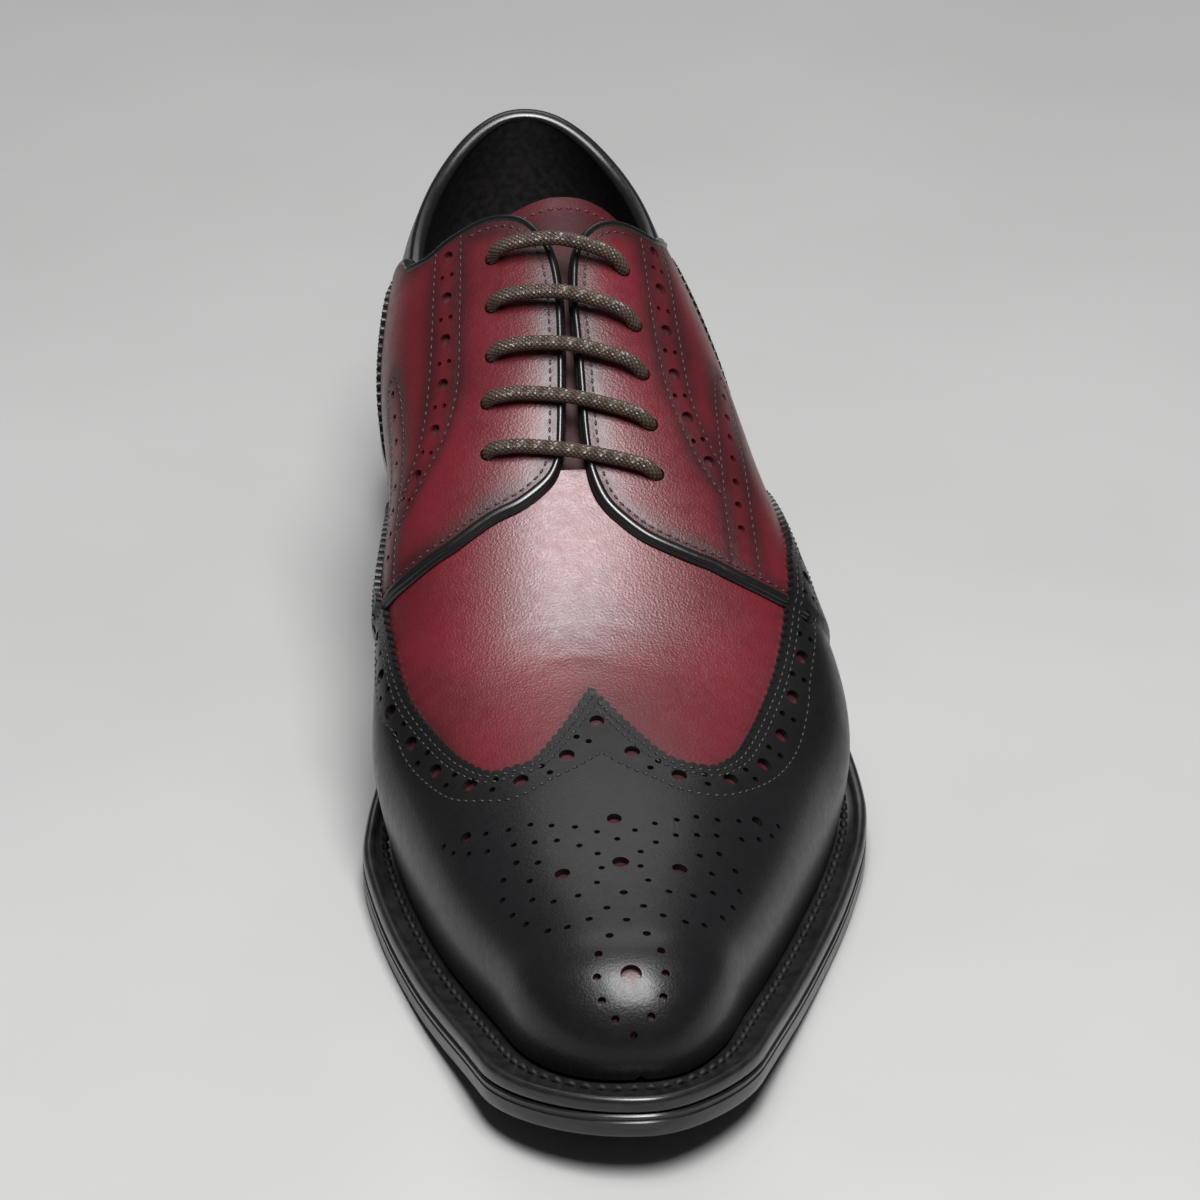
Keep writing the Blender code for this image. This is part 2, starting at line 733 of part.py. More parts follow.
def build_tongue():
    rows = 17
    columns = 11
    layers = []
    for depth in (0.0, TONGUE_THICK):
        for k in range(rows + 1):
            along = TONGUE_FRONT + (TONGUE_TOP - TONGUE_FRONT) * k / rows
            left = (TONGUE_TOP - along) / TONGUE_CORNER
            half = TONGUE_HALF * (1 if left >= 1 else 0.62 + 0.38 * math.sqrt(1 - (1 - left) ** 2))
            for n in range(columns + 1):
                offset = half * (2 * n / columns - 1)
                point, _ = skin_at(along, offset, -tongue_drop(along) - depth)
                layers.append(point)
    wide = columns + 1
    count = (rows + 1) * wide
    polygons = []
    for k in range(rows):
        for n in range(columns):
            a = k * wide + n
            polygons.append([a, a + 1, a + wide + 1, a + wide])
            polygons.append([count + a, count + a + wide, count + a + wide + 1, count + a + 1])
    rim = [n for n in range(wide)]
    rim += [k * wide + columns for k in range(1, rows + 1)]
    rim += [rows * wide + n for n in range(columns - 1, -1, -1)]
    rim += [k * wide for k in range(rows - 1, 0, -1)]
    for a, b in zip(rim, rim[1:] + rim[:1]):
        polygons.append([b, a, count + a, count + b])
    return make_object("tongue", layers, polygons)


def hole_place(row, side):
    eyelet = EYELETS[row]
    if side == LATERAL:
        return eyelet.lateral_along, eyelet.lateral
    return eyelet.medial_along, -eyelet.medial


def lace_route():
    """Places along the lace: share of the length, distance from the ridge, lift, flatness.

    The cord starts inside at the lowest pair, crosses in straight bars outside, and climbs
    inside to the next pair, on alternate sides.
    """
    over = LAP_RISE + LACE_LIFT + LACE_DIAMETER / 2
    under = -WALL - TONGUE_GAP / 2
    places = []
    side = MEDIAL
    for row in range(len(EYELETS)):
        along, near = hole_place(row, side)
        far_along, far = hole_place(row, -side)
        if row == 0:
            places.append((along - 0.010, near, under, 1.0))
            places.append((along - 0.0035, near, under, 0.9))
        places.append((along, near, under * 0.50, 0.0))
        places.append((along, near, 0.0, 0.0))
        places.append((along, near * 0.94, over * 0.66, 0.0))
        for share in (0.1, 0.24, 0.5, 0.76, 0.9):
            places.append((along + (far_along - along) * share,
                           near + (far - near) * share, over, 0.0))
        places.append((far_along, far * 0.94, over * 0.66, 0.0))
        places.append((far_along, far, 0.0, 0.0))
        places.append((far_along, far, under * 0.50, 0.0))
        side = -side
        if row + 1 < len(EYELETS):
            next_along, next_offset = hole_place(row + 1, side)
            for share in (0.14, 0.38, 0.62, 0.86):
                places.append((far_along + (next_along - far_along) * share,
                               far + (next_offset - far) * share, under,
                               0.9 if share in (0.14, 0.86) else 1.0))
        else:
            places.append((far_along + 0.0035, far, under, 0.9))
            places.append((far_along + 0.010, far, under, 1.0))
    return places


def round_route(points, steps):
    """Points on one smooth curve through the given ones."""
    ends = [2 * points[0] - points[1]] + list(points) + [2 * points[-1] - points[-2]]
    smooth = []
    for k in range(1, len(ends) - 2):
        a, b, c, d = ends[k - 1:k + 3]
        for n in range(steps):
            t = n / steps
            smooth.append(0.5 * (2 * b + (c - a) * t + (2 * a - 5 * b + 4 * c - d) * t * t
                                 + (3 * b - a - 3 * c + d) * t ** 3))
    smooth.append(points[-1])
    return smooth


def build_lace():
    places = lace_route()
    rows = []
    for along, offset, lift, flat in places:
        point, normal = skin_at(along, offset, lift)
        rows.append(np.concatenate([point, normal, [flat]]))
    rows = round_route(rows, 2)
    centres = [row[:3] for row in rows]
    count = len(centres)
    side = np.array([0.0, 1.0, 0.0])
    verts = []
    for k, row in enumerate(rows):
        ahead = centres[min(k + 1, count - 1)] - centres[max(k - 1, 0)]
        ahead = ahead / np.linalg.norm(ahead)
        side = side - ahead * np.dot(side, ahead)
        side = side / np.linalg.norm(side)
        up = np.cross(ahead, side)
        normal = row[3:6] / np.linalg.norm(row[3:6])
        flat = min(max(row[6], 0), 1)
        press = 1 + (LACE_FLAT / LACE_DIAMETER - 1) * flat
        for n in range(CORD_SIDES):
            turn = 2 * math.pi * n / CORD_SIDES
            spoke = (side * math.cos(turn) + up * math.sin(turn)) * LACE_DIAMETER / 2
            spoke = spoke + normal * np.dot(spoke, normal) * (press - 1)
            verts.append(centres[k] + spoke)
    polygons = []
    for k in range(count - 1):
        for n in range(CORD_SIDES):
            m = (n + 1) % CORD_SIDES
            base = k * CORD_SIDES
            polygons.append([base + n, base + m, base + CORD_SIDES + m, base + CORD_SIDES + n])
    for base in (0, (count - 1) * CORD_SIDES):
        polygons.append([base + n for n in range(CORD_SIDES)])
    return make_object("lace", verts, polygons)


def punch_holes(upper):
    """Cuts the lace holes through the facings."""
    sides = 14
    verts = []
    polygons = []
    for row in range(len(EYELETS)):
        for side in (LATERAL, MEDIAL):
            along, offset = hole_place(row, side)
            centre, normal = skin_at(along, offset, 0.0)
            right = np.cross(normal, [0.0, 1.0, 0.0])
            right = right / np.linalg.norm(right)
            fore = np.cross(normal, right)
            base = len(verts)
            for end in (-0.5, 0.5):
                for n in range(sides):
                    turn = 2 * math.pi * n / sides
                    spoke = right * math.cos(turn) + fore * math.sin(turn)
                    verts.append(centre + normal * end * HOLE_PUNCH_LENGTH
                                 + spoke * HOLE_DIAMETER / 2)
            polygons.append([base + n for n in range(sides)])
            polygons.append([base + sides + n for n in range(sides)])
            for n in range(sides):
                m = (n + 1) % sides
                polygons.append([base + n, base + m, base + sides + m, base + sides + n])
    punch = make_object("hole_punch", verts, polygons)
    punch.hide_render = True
    punch.display_type = "WIRE"
    cut = upper.modifiers.new("lace_holes", "BOOLEAN")
    cut.operation = "DIFFERENCE"
    cut.solver = "EXACT"
    cut.object = punch
    return punch


def finish(piece, color, roughness, metallic=0.0):
    """Gives a piece a plain finish of its own."""
    material = bpy.data.materials.new(piece.name)
    material.use_nodes = True
    shader = material.node_tree.nodes["Principled BSDF"]
    shader.inputs["Base Color"].default_value = (*color, 1.0)
    shader.inputs["Roughness"].default_value = roughness
    shader.inputs["Metallic"].default_value = metallic
    material.diffuse_color = (*color, 1.0)
    piece.data.materials.append(material)


BLACK_LEATHER = (0.016, 0.015, 0.016)
SOLE_EDGE = (0.020, 0.018, 0.018)
HEEL_LEATHER = (0.024, 0.020, 0.019)
HEEL_RUBBER = (0.018, 0.018, 0.019)
OXBLOOD = (0.105, 0.012, 0.020)
LINING = (0.030, 0.024, 0.023)
DARK_CORD = (0.042, 0.026, 0.020)


def centre_across(pieces):
    """Moves everything sideways so that the sole lies over the middle of the frame."""
    across = [x for x, _ in sole_plan()]
    shift = -(max(across) + min(across)) / 2
    for piece in pieces:
        for vertex in piece.data.vertices:
            vertex.co.x += shift


def build_shoe():
    for old in list(bpy.data.objects):
        bpy.data.objects.remove(old, do_unlink=True)
    skin = Skin()

    outsole = build_outsole()
    finish(outsole, SOLE_EDGE, 0.42)
    welt = build_welt(skin)
    finish(welt, SOLE_EDGE, 0.38)
    heel_stack = build_heel_stack()
    finish(heel_stack, HEEL_LEATHER, 0.40)
    top_piece = build_top_piece()
    finish(top_piece, HEEL_RUBBER, 0.70)
    insole = build_insole(skin)
    finish(insole, LINING, 0.60)

    upper = shell("upper", skin, ("wing", "quarters", "counter"), lambda n: -WALL, skin.lap)
    finish(upper, OXBLOOD, 0.36)
    punch = punch_holes(upper)

    def over(depth):
        return lambda n: skin.lap(n) + LEATHER_GAP + depth

    wing = shell("wing_cap", skin, ("wing",), over(0.0), over(OVERLAY_THICK))
    finish(wing, BLACK_LEATHER, 0.28)
    counter = shell("heel_counter", skin, ("counter",), over(0.0), over(OVERLAY_THICK))
    finish(counter, BLACK_LEATHER, 0.30)
    tongue = build_tongue()
    finish(tongue, OXBLOOD, 0.40)
    lace = build_lace()
    finish(lace, DARK_CORD, 0.62)

    centre_across([outsole, welt, heel_stack, top_piece, insole, upper, punch, wing, counter,
                   tongue, lace])


build_shoe()
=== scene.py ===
"""Looks of the left two-tone shoe: leather panels, thread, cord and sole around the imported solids.

Metres, +Z up, the toe towards -Y, the outer side of the foot towards +X. The skin of the last
is the same function as in the part's source, so each panel lies where its solid lies.
"""
import math
from collections import namedtuple

import bmesh
import bpy
import numpy as np
from bpy.props import FloatProperty, FloatVectorProperty, PointerProperty
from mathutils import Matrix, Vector
from mathutils.geometry import delaunay_2d_cdt
from mathutils.kdtree import KDTree


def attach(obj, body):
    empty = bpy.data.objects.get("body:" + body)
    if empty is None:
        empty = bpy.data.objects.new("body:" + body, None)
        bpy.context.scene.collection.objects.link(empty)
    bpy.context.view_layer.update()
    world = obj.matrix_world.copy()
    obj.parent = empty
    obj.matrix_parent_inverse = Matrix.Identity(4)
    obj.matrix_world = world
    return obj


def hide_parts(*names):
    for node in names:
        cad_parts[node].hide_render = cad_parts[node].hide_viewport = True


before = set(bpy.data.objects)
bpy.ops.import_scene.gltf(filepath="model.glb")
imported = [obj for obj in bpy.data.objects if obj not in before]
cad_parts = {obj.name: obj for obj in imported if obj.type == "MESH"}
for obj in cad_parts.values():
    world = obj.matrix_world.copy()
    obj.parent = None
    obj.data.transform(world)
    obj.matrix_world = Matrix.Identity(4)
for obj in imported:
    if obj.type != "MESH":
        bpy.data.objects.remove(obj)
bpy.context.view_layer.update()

bl_info = {
    "name": "Two-tone Wingtip Shoe",
    "version": (1, 0, 0),
    "blender": (4, 5, 0),
    "location": "View3D > Sidebar > Shoe",
    "description": "Dresses the packed solids of a left shoe in leather, thread and cord",
    "category": "Object",
}

# Sizes of the whole shoe
SOLE_LENGTH = 0.306
BALL_WIDTH = 0.1035
INSTEP_RISE = 0.075

# Thicknesses
OUTSOLE_THICK = 0.0052
WELT_THICK = 0.0036
TOP_PIECE_THICK = 0.0058
WALL = 0.0018
LAP_RISE = 0.0011
OVERLAY_THICK = 0.0011
TONGUE_THICK = 0.0024

# Clearances between neighbours
SEAT_GAP = 0.0003
LEATHER_GAP = 0.0003
TONGUE_GAP = 0.0023

# How far the upper stands in from the tip and the back of the sole
TOE_STEP = 0.0105
HEEL_STEP = 0.0050

# Round ends of the plan and of the toe box: length of the round stretch, and how square it is
TOE_RUN = 0.0230
TOE_SQUARE = 2.08
LAST_TOE_SQUARE = 2.65
HEEL_RUN = 0.0398
HEEL_SQUARE = 2.15
BOX_RUN = 0.0210
BOX_SQUARE = 2.45

# Curve of the back and of the sides behind the instep: swells out low down, tucks in at the top
BACK_SWELL = 0.0035
BACK_TUCK = 0.0130
BACK_FROM = 0.80
SIDE_TUCK = 0.0220
SIDE_TUCK_FROM = 0.58
SIDE_TUCK_FULL = 0.86
TUCK_RISE = 0.065
TUCK_ABOVE = 0.2

# Edge of the sole and of the heel
EDGE_BEVEL = 0.0009
HEEL_BREAST = 0.742
HEEL_TAPER = 0.0024
HEEL_LIFTS = 3
LIFT_GROOVE = 0.0003

# Throat between the two facings
THROAT = 0.460
SLIT_HALF = 0.0022

# Tongue, as half widths and shares of the upper's length
TONGUE_HALF = 0.0220
TONGUE_FRONT = 0.404
TONGUE_TOP = 0.658
TONGUE_SEWN = 0.414
TONGUE_FREE = 0.442

# Lace and its punched holes
LACE_FLAT = 0.0015
LACE_LIFT = 0.0003

# Cross sections of the last: share of the upper's length; half breadths of the sole, as shares
# of BALL_WIDTH; height of the ridge, as a share of INSTEP_RISE; lean of the ridge and belly of
# the sides, as shares of BALL_WIDTH; exponent that makes the top squarer
Section = namedtuple("Section", "along medial lateral ridge lean square belly_medial belly_lateral")
SECTIONS = [Section(*row) for row in (
    (0.00, 0.231, 0.156, 0.236, 0.000, 2.60, 0.010, 0.010),
    (0.05, 0.268, 0.212, 0.281, 0.000, 2.60, 0.020, 0.020),
    (0.10, 0.305, 0.269, 0.316, 0.000, 2.55, 0.028, 0.028),
    (0.20, 0.383, 0.382, 0.385, 0.000, 2.45, 0.040, 0.040),
    (0.30, 0.439, 0.487, 0.475, -0.010, 2.30, 0.050, 0.052),
    (0.36, 0.454, 0.533, 0.570, -0.020, 2.35, 0.072, 0.092),
    (0.40, 0.440, 0.546, 0.655, -0.020, 2.45, 0.080, 0.080),
    (0.45, 0.405, 0.536, 0.770, -0.022, 2.60, 0.094, 0.060),
    (0.55, 0.325, 0.460, 0.985, -0.006, 2.35, 0.143, 0.056),
    (0.65, 0.300, 0.395, 1.135, 0.004, 2.35, 0.186, 0.022),
    (0.75, 0.314, 0.350, 1.225, 0.000, 2.60, 0.146, 0.008),
    (0.85, 0.333, 0.350, 1.265, 0.000, 2.90, 0.050, 0.010),
    (1.00, 0.324, 0.338, 1.265, 0.000, 3.00, 0.030, 0.030),
)]

# How far the sole stands out from the skin of the last, in metres
Ledge = namedtuple("Ledge", "along medial lateral")
LEDGES = [Ledge(*row) for row in (
    (0.00, 0.0060, 0.0036), (0.05, 0.0068, 0.0050), (0.10, 0.0072, 0.0060), (0.20, 0.0070, 0.0060),
    (0.30, 0.0070, 0.0060), (0.40, 0.0070, 0.0070), (0.46, 0.0062, 0.0086), (0.55, 0.0052, 0.0093),
    (0.70, 0.0044, 0.0054), (0.85, 0.0044, 0.0048), (1.00, 0.0046, 0.0046),
)]

# Underside of the outsole: share of the sole's length, height over the floor in metres
Arch = namedtuple("Arch", "along height")
ARCHES = [Arch(*row) for row in (
    (0.00, 0.0095), (0.05, 0.0068), (0.10, 0.0044), (0.16, 0.0018), (0.22, 0.0003), (0.26, 0.0000),
    (0.34, 0.0000), (0.38, 0.0004), (0.46, 0.0038), (0.55, 0.0098), (0.64, 0.0158), (0.71, 0.02040),
    (0.735, 0.02062), (0.85, 0.02165), (1.00, 0.0230),
)]

# Top edge of the facings and the collar: share of the upper's length, height over the feather
# line as a share of INSTEP_RISE
TopEdge = namedtuple("TopEdge", "along medial lateral")
TOP_EDGES = [TopEdge(*row) for row in (
    (0.600, 1.200, 1.200), (0.625, 1.130, 1.125), (0.636, 1.118, 1.104), (0.645, 1.102, 1.050),
    (0.652, 1.070, 0.990), (0.661, 0.930, 0.950), (0.691, 0.836, 0.870), (0.720, 0.700, 0.735),
    (0.760, 0.570, 0.580), (0.800, 0.490, 0.490), (0.850, 0.500, 0.500), (0.900, 0.550, 0.550),
    (0.950, 0.622, 0.622), (1.000, 0.720, 0.720),
)]

# Edges of the panels, drawn on each side of the skin: share of the girth from the top edge (0)
# down to the feather line (1), and share of the upper's length
Edge = namedtuple("Edge", "medial_girth medial lateral_girth lateral")
WING_EDGE = [Edge(*row) for row in (
    (0.00, 0.322, 0.000, 0.322), (0.07, 0.301, 0.055, 0.302), (0.14, 0.283, 0.110, 0.284),
    (0.26, 0.263, 0.200, 0.262), (0.35, 0.263, 0.300, 0.256), (0.43, 0.279, 0.390, 0.265),
    (0.48, 0.304, 0.445, 0.288), (0.51, 0.335, 0.475, 0.318), (0.53, 0.370, 0.492, 0.350),
    (0.54, 0.405, 0.504, 0.384), (0.55, 0.440, 0.514, 0.414), (0.58, 0.500, 0.530, 0.456),
    (0.64, 0.560, 0.580, 0.520), (0.74, 0.603, 0.700, 0.578), (0.86, 0.622, 0.850, 0.608),
    (1.00, 0.630, 1.000, 0.622),
)]
FLAP_EDGE = [Edge(*row) for row in (
    (0.00, THROAT, 0.00, THROAT), (0.05, 0.457, 0.04, 0.455), (0.10, 0.451, 0.08, 0.447),
    (0.17, 0.445, 0.15, 0.435), (0.29, 0.438, 0.25, 0.422), (0.42, 0.435, 0.35, 0.414),
    (0.60, 0.446, 0.48, 0.411), (1.00, 0.475, 1.00, 0.470),
)]
# Punched holes, from the lowest pair up: share of the upper's length, distance from the ridge
Eyelet = namedtuple("Eyelet", "medial_along medial lateral_along lateral")
EYELETS = [Eyelet(*row) for row in (
    (0.486, 0.0163, 0.467, 0.0177), (0.519, 0.0165, 0.498, 0.0168), (0.549, 0.0155, 0.530, 0.0154),
    (0.583, 0.0153, 0.562, 0.0142), (0.618, 0.0149, 0.600, 0.0121),
)]


LATERAL, MEDIAL = 1, -1
UPPER_LENGTH = SOLE_LENGTH - TOE_STEP - HEEL_STEP


def smooth_curve(xs, ys, at):
    """A curve through the points that never overshoots them."""
    xs = np.asarray(xs, float)
    ys = np.asarray(ys, float)
    steps = np.diff(xs)
    rates = np.diff(ys) / steps
    slopes = np.zeros(len(xs))
    slopes[0] = rates[0]
    slopes[-1] = rates[-1]
    for k in range(1, len(xs) - 1):
        if rates[k - 1] * rates[k] > 0:
            mean = (rates[k - 1] * steps[k] + rates[k] * steps[k - 1]) / (steps[k - 1] + steps[k])
            limit = 3 * min(abs(rates[k - 1]), abs(rates[k]))
            slopes[k] = max(-limit, min(limit, mean))
    at = np.clip(np.asarray(at, float), xs[0], xs[-1])
    k = np.clip(np.searchsorted(xs, at) - 1, 0, len(steps) - 1)
    u = (at - xs[k]) / steps[k]
    start = (1 + 2 * u) * (1 - u) ** 2 * ys[k] + u * (1 - u) ** 2 * steps[k] * slopes[k]
    end = u * u * (3 - 2 * u) * ys[k + 1] + u * u * (u - 1) * steps[k] * slopes[k + 1]
    return start + end


def column(table, name, at):
    """One named column of a table, read at a share of the length."""
    return smooth_curve([row[0] for row in table], [getattr(row, name) for row in table], at)


def by_side(side):
    """The name that a side has in the tables."""
    return "lateral" if side == LATERAL else "medial"


def round_end(distance, run, square):
    """Rises from 0 at the tip to 1 where the round stretch ends."""
    left = np.clip(1 - np.asarray(distance, float) / run, 0, 1)
    return (1 - left ** square) ** (1 / square)


def smooth_step(low, high, at):
    """Rises smoothly from 0 to 1 between two places."""
    share = np.clip((np.asarray(at, float) - low) / (high - low), 0, 1)
    return share * share * (3 - 2 * share)


def plan_ends(from_toe, length, toe_square):
    """Share of the breadth that is left by the round toe and heel."""
    toe = round_end(from_toe, TOE_RUN, toe_square)
    return toe * round_end(length - from_toe, HEEL_RUN, HEEL_SQUARE)


def underside(y):
    """Height of the outsole's underside over the floor."""
    return column(ARCHES, "height", y / SOLE_LENGTH + 0.5)


def feather_height(y):
    """Height of the line where the upper meets the welt."""
    return underside(y) + OUTSOLE_THICK + WELT_THICK + SEAT_GAP


def last_y(along):
    """Place of a share of the upper's length on the Y axis."""
    return TOE_STEP + along * UPPER_LENGTH - SOLE_LENGTH / 2


def ridge_height(along):
    """Height of the last's ridge over the feather line."""
    rise = round_end(along * UPPER_LENGTH, BOX_RUN, BOX_SQUARE)
    return INSTEP_RISE * column(SECTIONS, "ridge", along) * rise


def last_half(along, side):
    """Half breadth of the last at the feather line."""
    name = by_side(side)
    half = column(SECTIONS, name, along) * BALL_WIDTH - column(LEDGES, name, along)
    return half * plan_ends(along * UPPER_LENGTH, UPPER_LENGTH, LAST_TOE_SQUARE)


def skin_curve(along, side, turn):
    """Points of the last's skin at angles from the ridge (0) to the feather line (quarter turn)."""
    ends = plan_ends(along * UPPER_LENGTH, UPPER_LENGTH, LAST_TOE_SQUARE)
    square = column(SECTIONS, "square", along)
    lean = column(SECTIONS, "lean", along) * BALL_WIDTH * ends
    belly = column(SECTIONS, "belly_" + by_side(side), along) * BALL_WIDTH * ends
    across = np.sin(turn) ** (2 / square)
    upward = np.clip(np.cos(turn), 0, 1) ** (2 / square)
    swell = np.sin(2 * turn).clip(0) ** 1.2 * np.sin(turn)
    y = last_y(along)
    rise = ridge_height(along) * upward
    tall = rise / TUCK_RISE
    tuck = np.clip(tall - TUCK_ABOVE, 0, 1) ** 1.5
    sides = SIDE_TUCK * smooth_step(SIDE_TUCK_FROM, SIDE_TUCK_FULL, along) * ends * tuck * across
    x = side * (last_half(along, side) * across + belly * swell - sides) + lean * upward
    back = smooth_step(BACK_FROM, 1, along)
    out = BACK_SWELL * np.sin(np.clip(tall, 0, 1.2) * math.pi * 0.75)
    return np.stack([x + 0 * turn, y + back * (out - BACK_TUCK * tuck) + 0 * turn,
                     feather_height(y) + rise], axis=-1)


def top_turn(along, side):
    """Angle from the ridge at which the upper's top edge lies: the slit, the facing, the collar."""
    square = float(column(SECTIONS, "square", along))
    if along <= THROAT:
        return 0.0
    past = min((along - THROAT) * UPPER_LENGTH / SLIT_HALF, 1)
    slit = SLIT_HALF * math.sqrt(1 - (1 - past) ** 2)
    half = max(float(last_half(along, side)), slit)
    turn = math.asin((slit / half) ** (square / 2)) if along < TOP_EDGES[5].along else 0.0
    edge = float(column(TOP_EDGES, by_side(side), along)) * INSTEP_RISE
    ridge = float(ridge_height(along))
    if edge < ridge and along > TOP_EDGES[0].along:
        turn = max(turn, math.acos((edge / ridge) ** (square / 2)))
    return turn


def edge_along(table, girth, side):
    """Share of the length at which a panel's edge lies, at a share of the girth."""
    name = by_side(side)
    girths = [getattr(row, name + "_girth") for row in table]
    return smooth_curve(girths, [getattr(row, name) for row in table], girth)


def sole_half(along, side):
    """Half breadth of the sole at a share of its length."""
    half = column(SECTIONS, by_side(side), along) * BALL_WIDTH
    return half * plan_ends(along * SOLE_LENGTH, SOLE_LENGTH, TOE_SQUARE)


def hole_place(row, side):
    eyelet = EYELETS[row]
    if side == LATERAL:
        return eyelet.lateral_along, eyelet.lateral
    return eyelet.medial_along, -eyelet.medial


# Medallion on the toe: share of the length, distance from its axis, radius; each is mirrored
Punch = namedtuple("Punch", "along away radius")
MEDALLION = [Punch(*row) for row in (
    (0.0310, 0.0, 0.00200), (0.0050, 0.0, 0.00072), (0.0790, 0.0, 0.00072), (0.0625, 0.00345, 0.00078),
    (0.0475, 0.00575, 0.00078), (0.0320, 0.00630, 0.00078), (0.0190, 0.00560, 0.00078),
    (0.0105, 0.00325, 0.00074), (0.0950, 0.00345, 0.00070), (0.0845, 0.00690, 0.00070),
    (0.0810, 0.01100, 0.00070), (0.0845, 0.01475, 0.00070), (0.1025, 0.01890, 0.00068),
    (0.1190, 0.02145, 0.00068), (0.1390, 0.02320, 0.00068), (0.1570, 0.02255, 0.00068),
    (0.1685, 0.01960, 0.00068), (0.1120, 0.0, 0.00080), (0.1140, 0.00855, 0.00066),
    (0.1140, 0.01320, 0.00066), (0.1240, 0.01725, 0.00066), (0.1445, 0.01745, 0.00066),
    (0.1610, 0.01550, 0.00066), (0.1260, 0.00485, 0.00062), (0.1425, 0.00370, 0.00062),
    (0.1590, 0.00410, 0.00062), (0.1740, 0.0, 0.00062), (0.1700, 0.00730, 0.00062),
    (0.1795, 0.01140, 0.00062), (0.1830, 0.01565, 0.00062), (0.1870, 0.01965, 0.00062),
    (0.1920, 0.02495, 0.00062), (0.2000, 0.02890, 0.00062), (0.2110, 0.03230, 0.00062),
    (0.2240, 0.03420, 0.00062), (0.1830, 0.00365, 0.00060), (0.1905, 0.00765, 0.00060),
    (0.1960, 0.01205, 0.00060), (0.2020, 0.01605, 0.00060), (0.2035, 0.02030, 0.00060),
    (0.2090, 0.02485, 0.00060), (0.1425, 0.01115, 0.00150), (0.1480, 0.0, 0.00165),
    (0.1960, 0.0, 0.00150), (0.2165, 0.02900, 0.00120),
)]

# Lines on the skin, as shares of the length and signed distances from the ridge in metres
WING_HOLES_FRONT = (
    (0.319, -0.0368), (0.293, -0.0336), (0.263, -0.0271), (0.248, -0.0167), (0.263, -0.0072),
    (0.293, 0.0), (0.260, 0.0068), (0.242, 0.0156), (0.252, 0.0264), (0.278, 0.0336), (0.304, 0.0379),
    (0.330, 0.0412),
)
WING_ROW_FRONT = (
    (0.345, -0.0415), (0.319, -0.0397), (0.293, -0.0365), (0.259, -0.0309), (0.241, -0.0243),
    (0.233, -0.0180), (0.244, -0.0103), (0.252, -0.0054), (0.264, -0.0002), (0.250, 0.0040),
    (0.239, 0.0090), (0.228, 0.0150), (0.230, 0.0221), (0.248, 0.0297), (0.274, 0.0366),
    (0.307, 0.0425), (0.341, 0.0462),
)
QUARTER_BACK = 0.80

# Where panels end at the tip and at the back seam, as shares of the length
TIP = 0.00002
BACK = 0.99999

# Edges of the punched stripe on each quarter, and outlines of the punched band beside it
STRIPE_MEDIAL_INNER = (
    (0.655, -0.0222), (0.620, -0.0226), (0.586, -0.0231), (0.545, -0.0238), (0.515, -0.0266),
    (0.493, -0.0330), (0.474, -0.0420),
)
STRIPE_MEDIAL_OUTER = (
    (0.656, -0.0290), (0.620, -0.0298), (0.586, -0.0306), (0.556, -0.0318), (0.526, -0.0336),
    (0.505, -0.0372), (0.486, -0.0450),
)
STRIPE_LATERAL_INNER = (
    (0.644, 0.0176), (0.605, 0.0178), (0.571, 0.0185), (0.526, 0.0207), (0.489, 0.0261),
    (0.463, 0.0330), (0.440, 0.0420),
)
STRIPE_LATERAL_OUTER = (
    (0.650, 0.0252), (0.605, 0.0247), (0.571, 0.0250), (0.523, 0.0268), (0.487, 0.0325),
    (0.466, 0.0390), (0.452, 0.0450),
)
BAND_LATERAL = (
    (0.419, 0.0325), (0.463, 0.0325), (0.500, 0.0328), (0.537, 0.0337), (0.556, 0.0350),
    (0.568, 0.0364), (0.576, 0.0385), (0.574, 0.0410), (0.560, 0.0418), (0.540, 0.0412),
    (0.523, 0.0402), (0.471, 0.0390), (0.419, 0.0386),
)
BAND_MEDIAL = (
    (0.437, -0.0400), (0.490, -0.0401), (0.530, -0.0402), (0.556, -0.0409), (0.580, -0.0418),
    (0.595, -0.0432), (0.603, -0.0456), (0.598, -0.0478), (0.580, -0.0488), (0.556, -0.0484),
    (0.530, -0.0478), (0.490, -0.0468), (0.440, -0.0465),
)

# How much higher than the solid's each bar of the lace bows, from the lowest pair up
LACE_BOW = (-0.0002, 0.0000, 0.0009, 0.0016, 0.0023)

# Punched row of the wing and counter: spacing and radius of the large holes, radius of the small
# ones and their distance from the row's line; radius of the bare holes for the lace
BROGUE = (0.0108, 0.00155, 0.00066, 0.00135)
LACE_HOLE = 0.0017

# Lace and the counter's leather
CORD_THICK = 0.0030
CORD_PITCH = 0.0011
COUNTER_THICK = 0.0007

# Front edges of the heel counter from the collar to the feather line: (share of length, offset)
COUNTER_LATERAL = (
    (0.705, 0.0388), (0.685, 0.0400), (0.666, 0.0425), (0.646, 0.0455), (0.628, 0.0490),
    (0.6155, 0.0535), (0.610, 0.0580), (0.609, 0.0623), (0.6105, 0.0678), (0.6150, 0.0734),
    (0.6226, 0.0790), (0.6318, 0.0850), (0.6423, 0.0912), (0.6542, 0.0968), (0.662, 0.1001),
)
COUNTER_MEDIAL = (
    (0.715, -0.0508), (0.697, -0.0514), (0.680, -0.0526), (0.662, -0.0545), (0.645, -0.0570),
    (0.630, -0.0605), (0.621, -0.0655), (0.6185, -0.0707), (0.6219, -0.0767), (0.6291, -0.0828),
    (0.6378, -0.0893), (0.6482, -0.0962), (0.6602, -0.1027), (0.668, -0.1056),
)

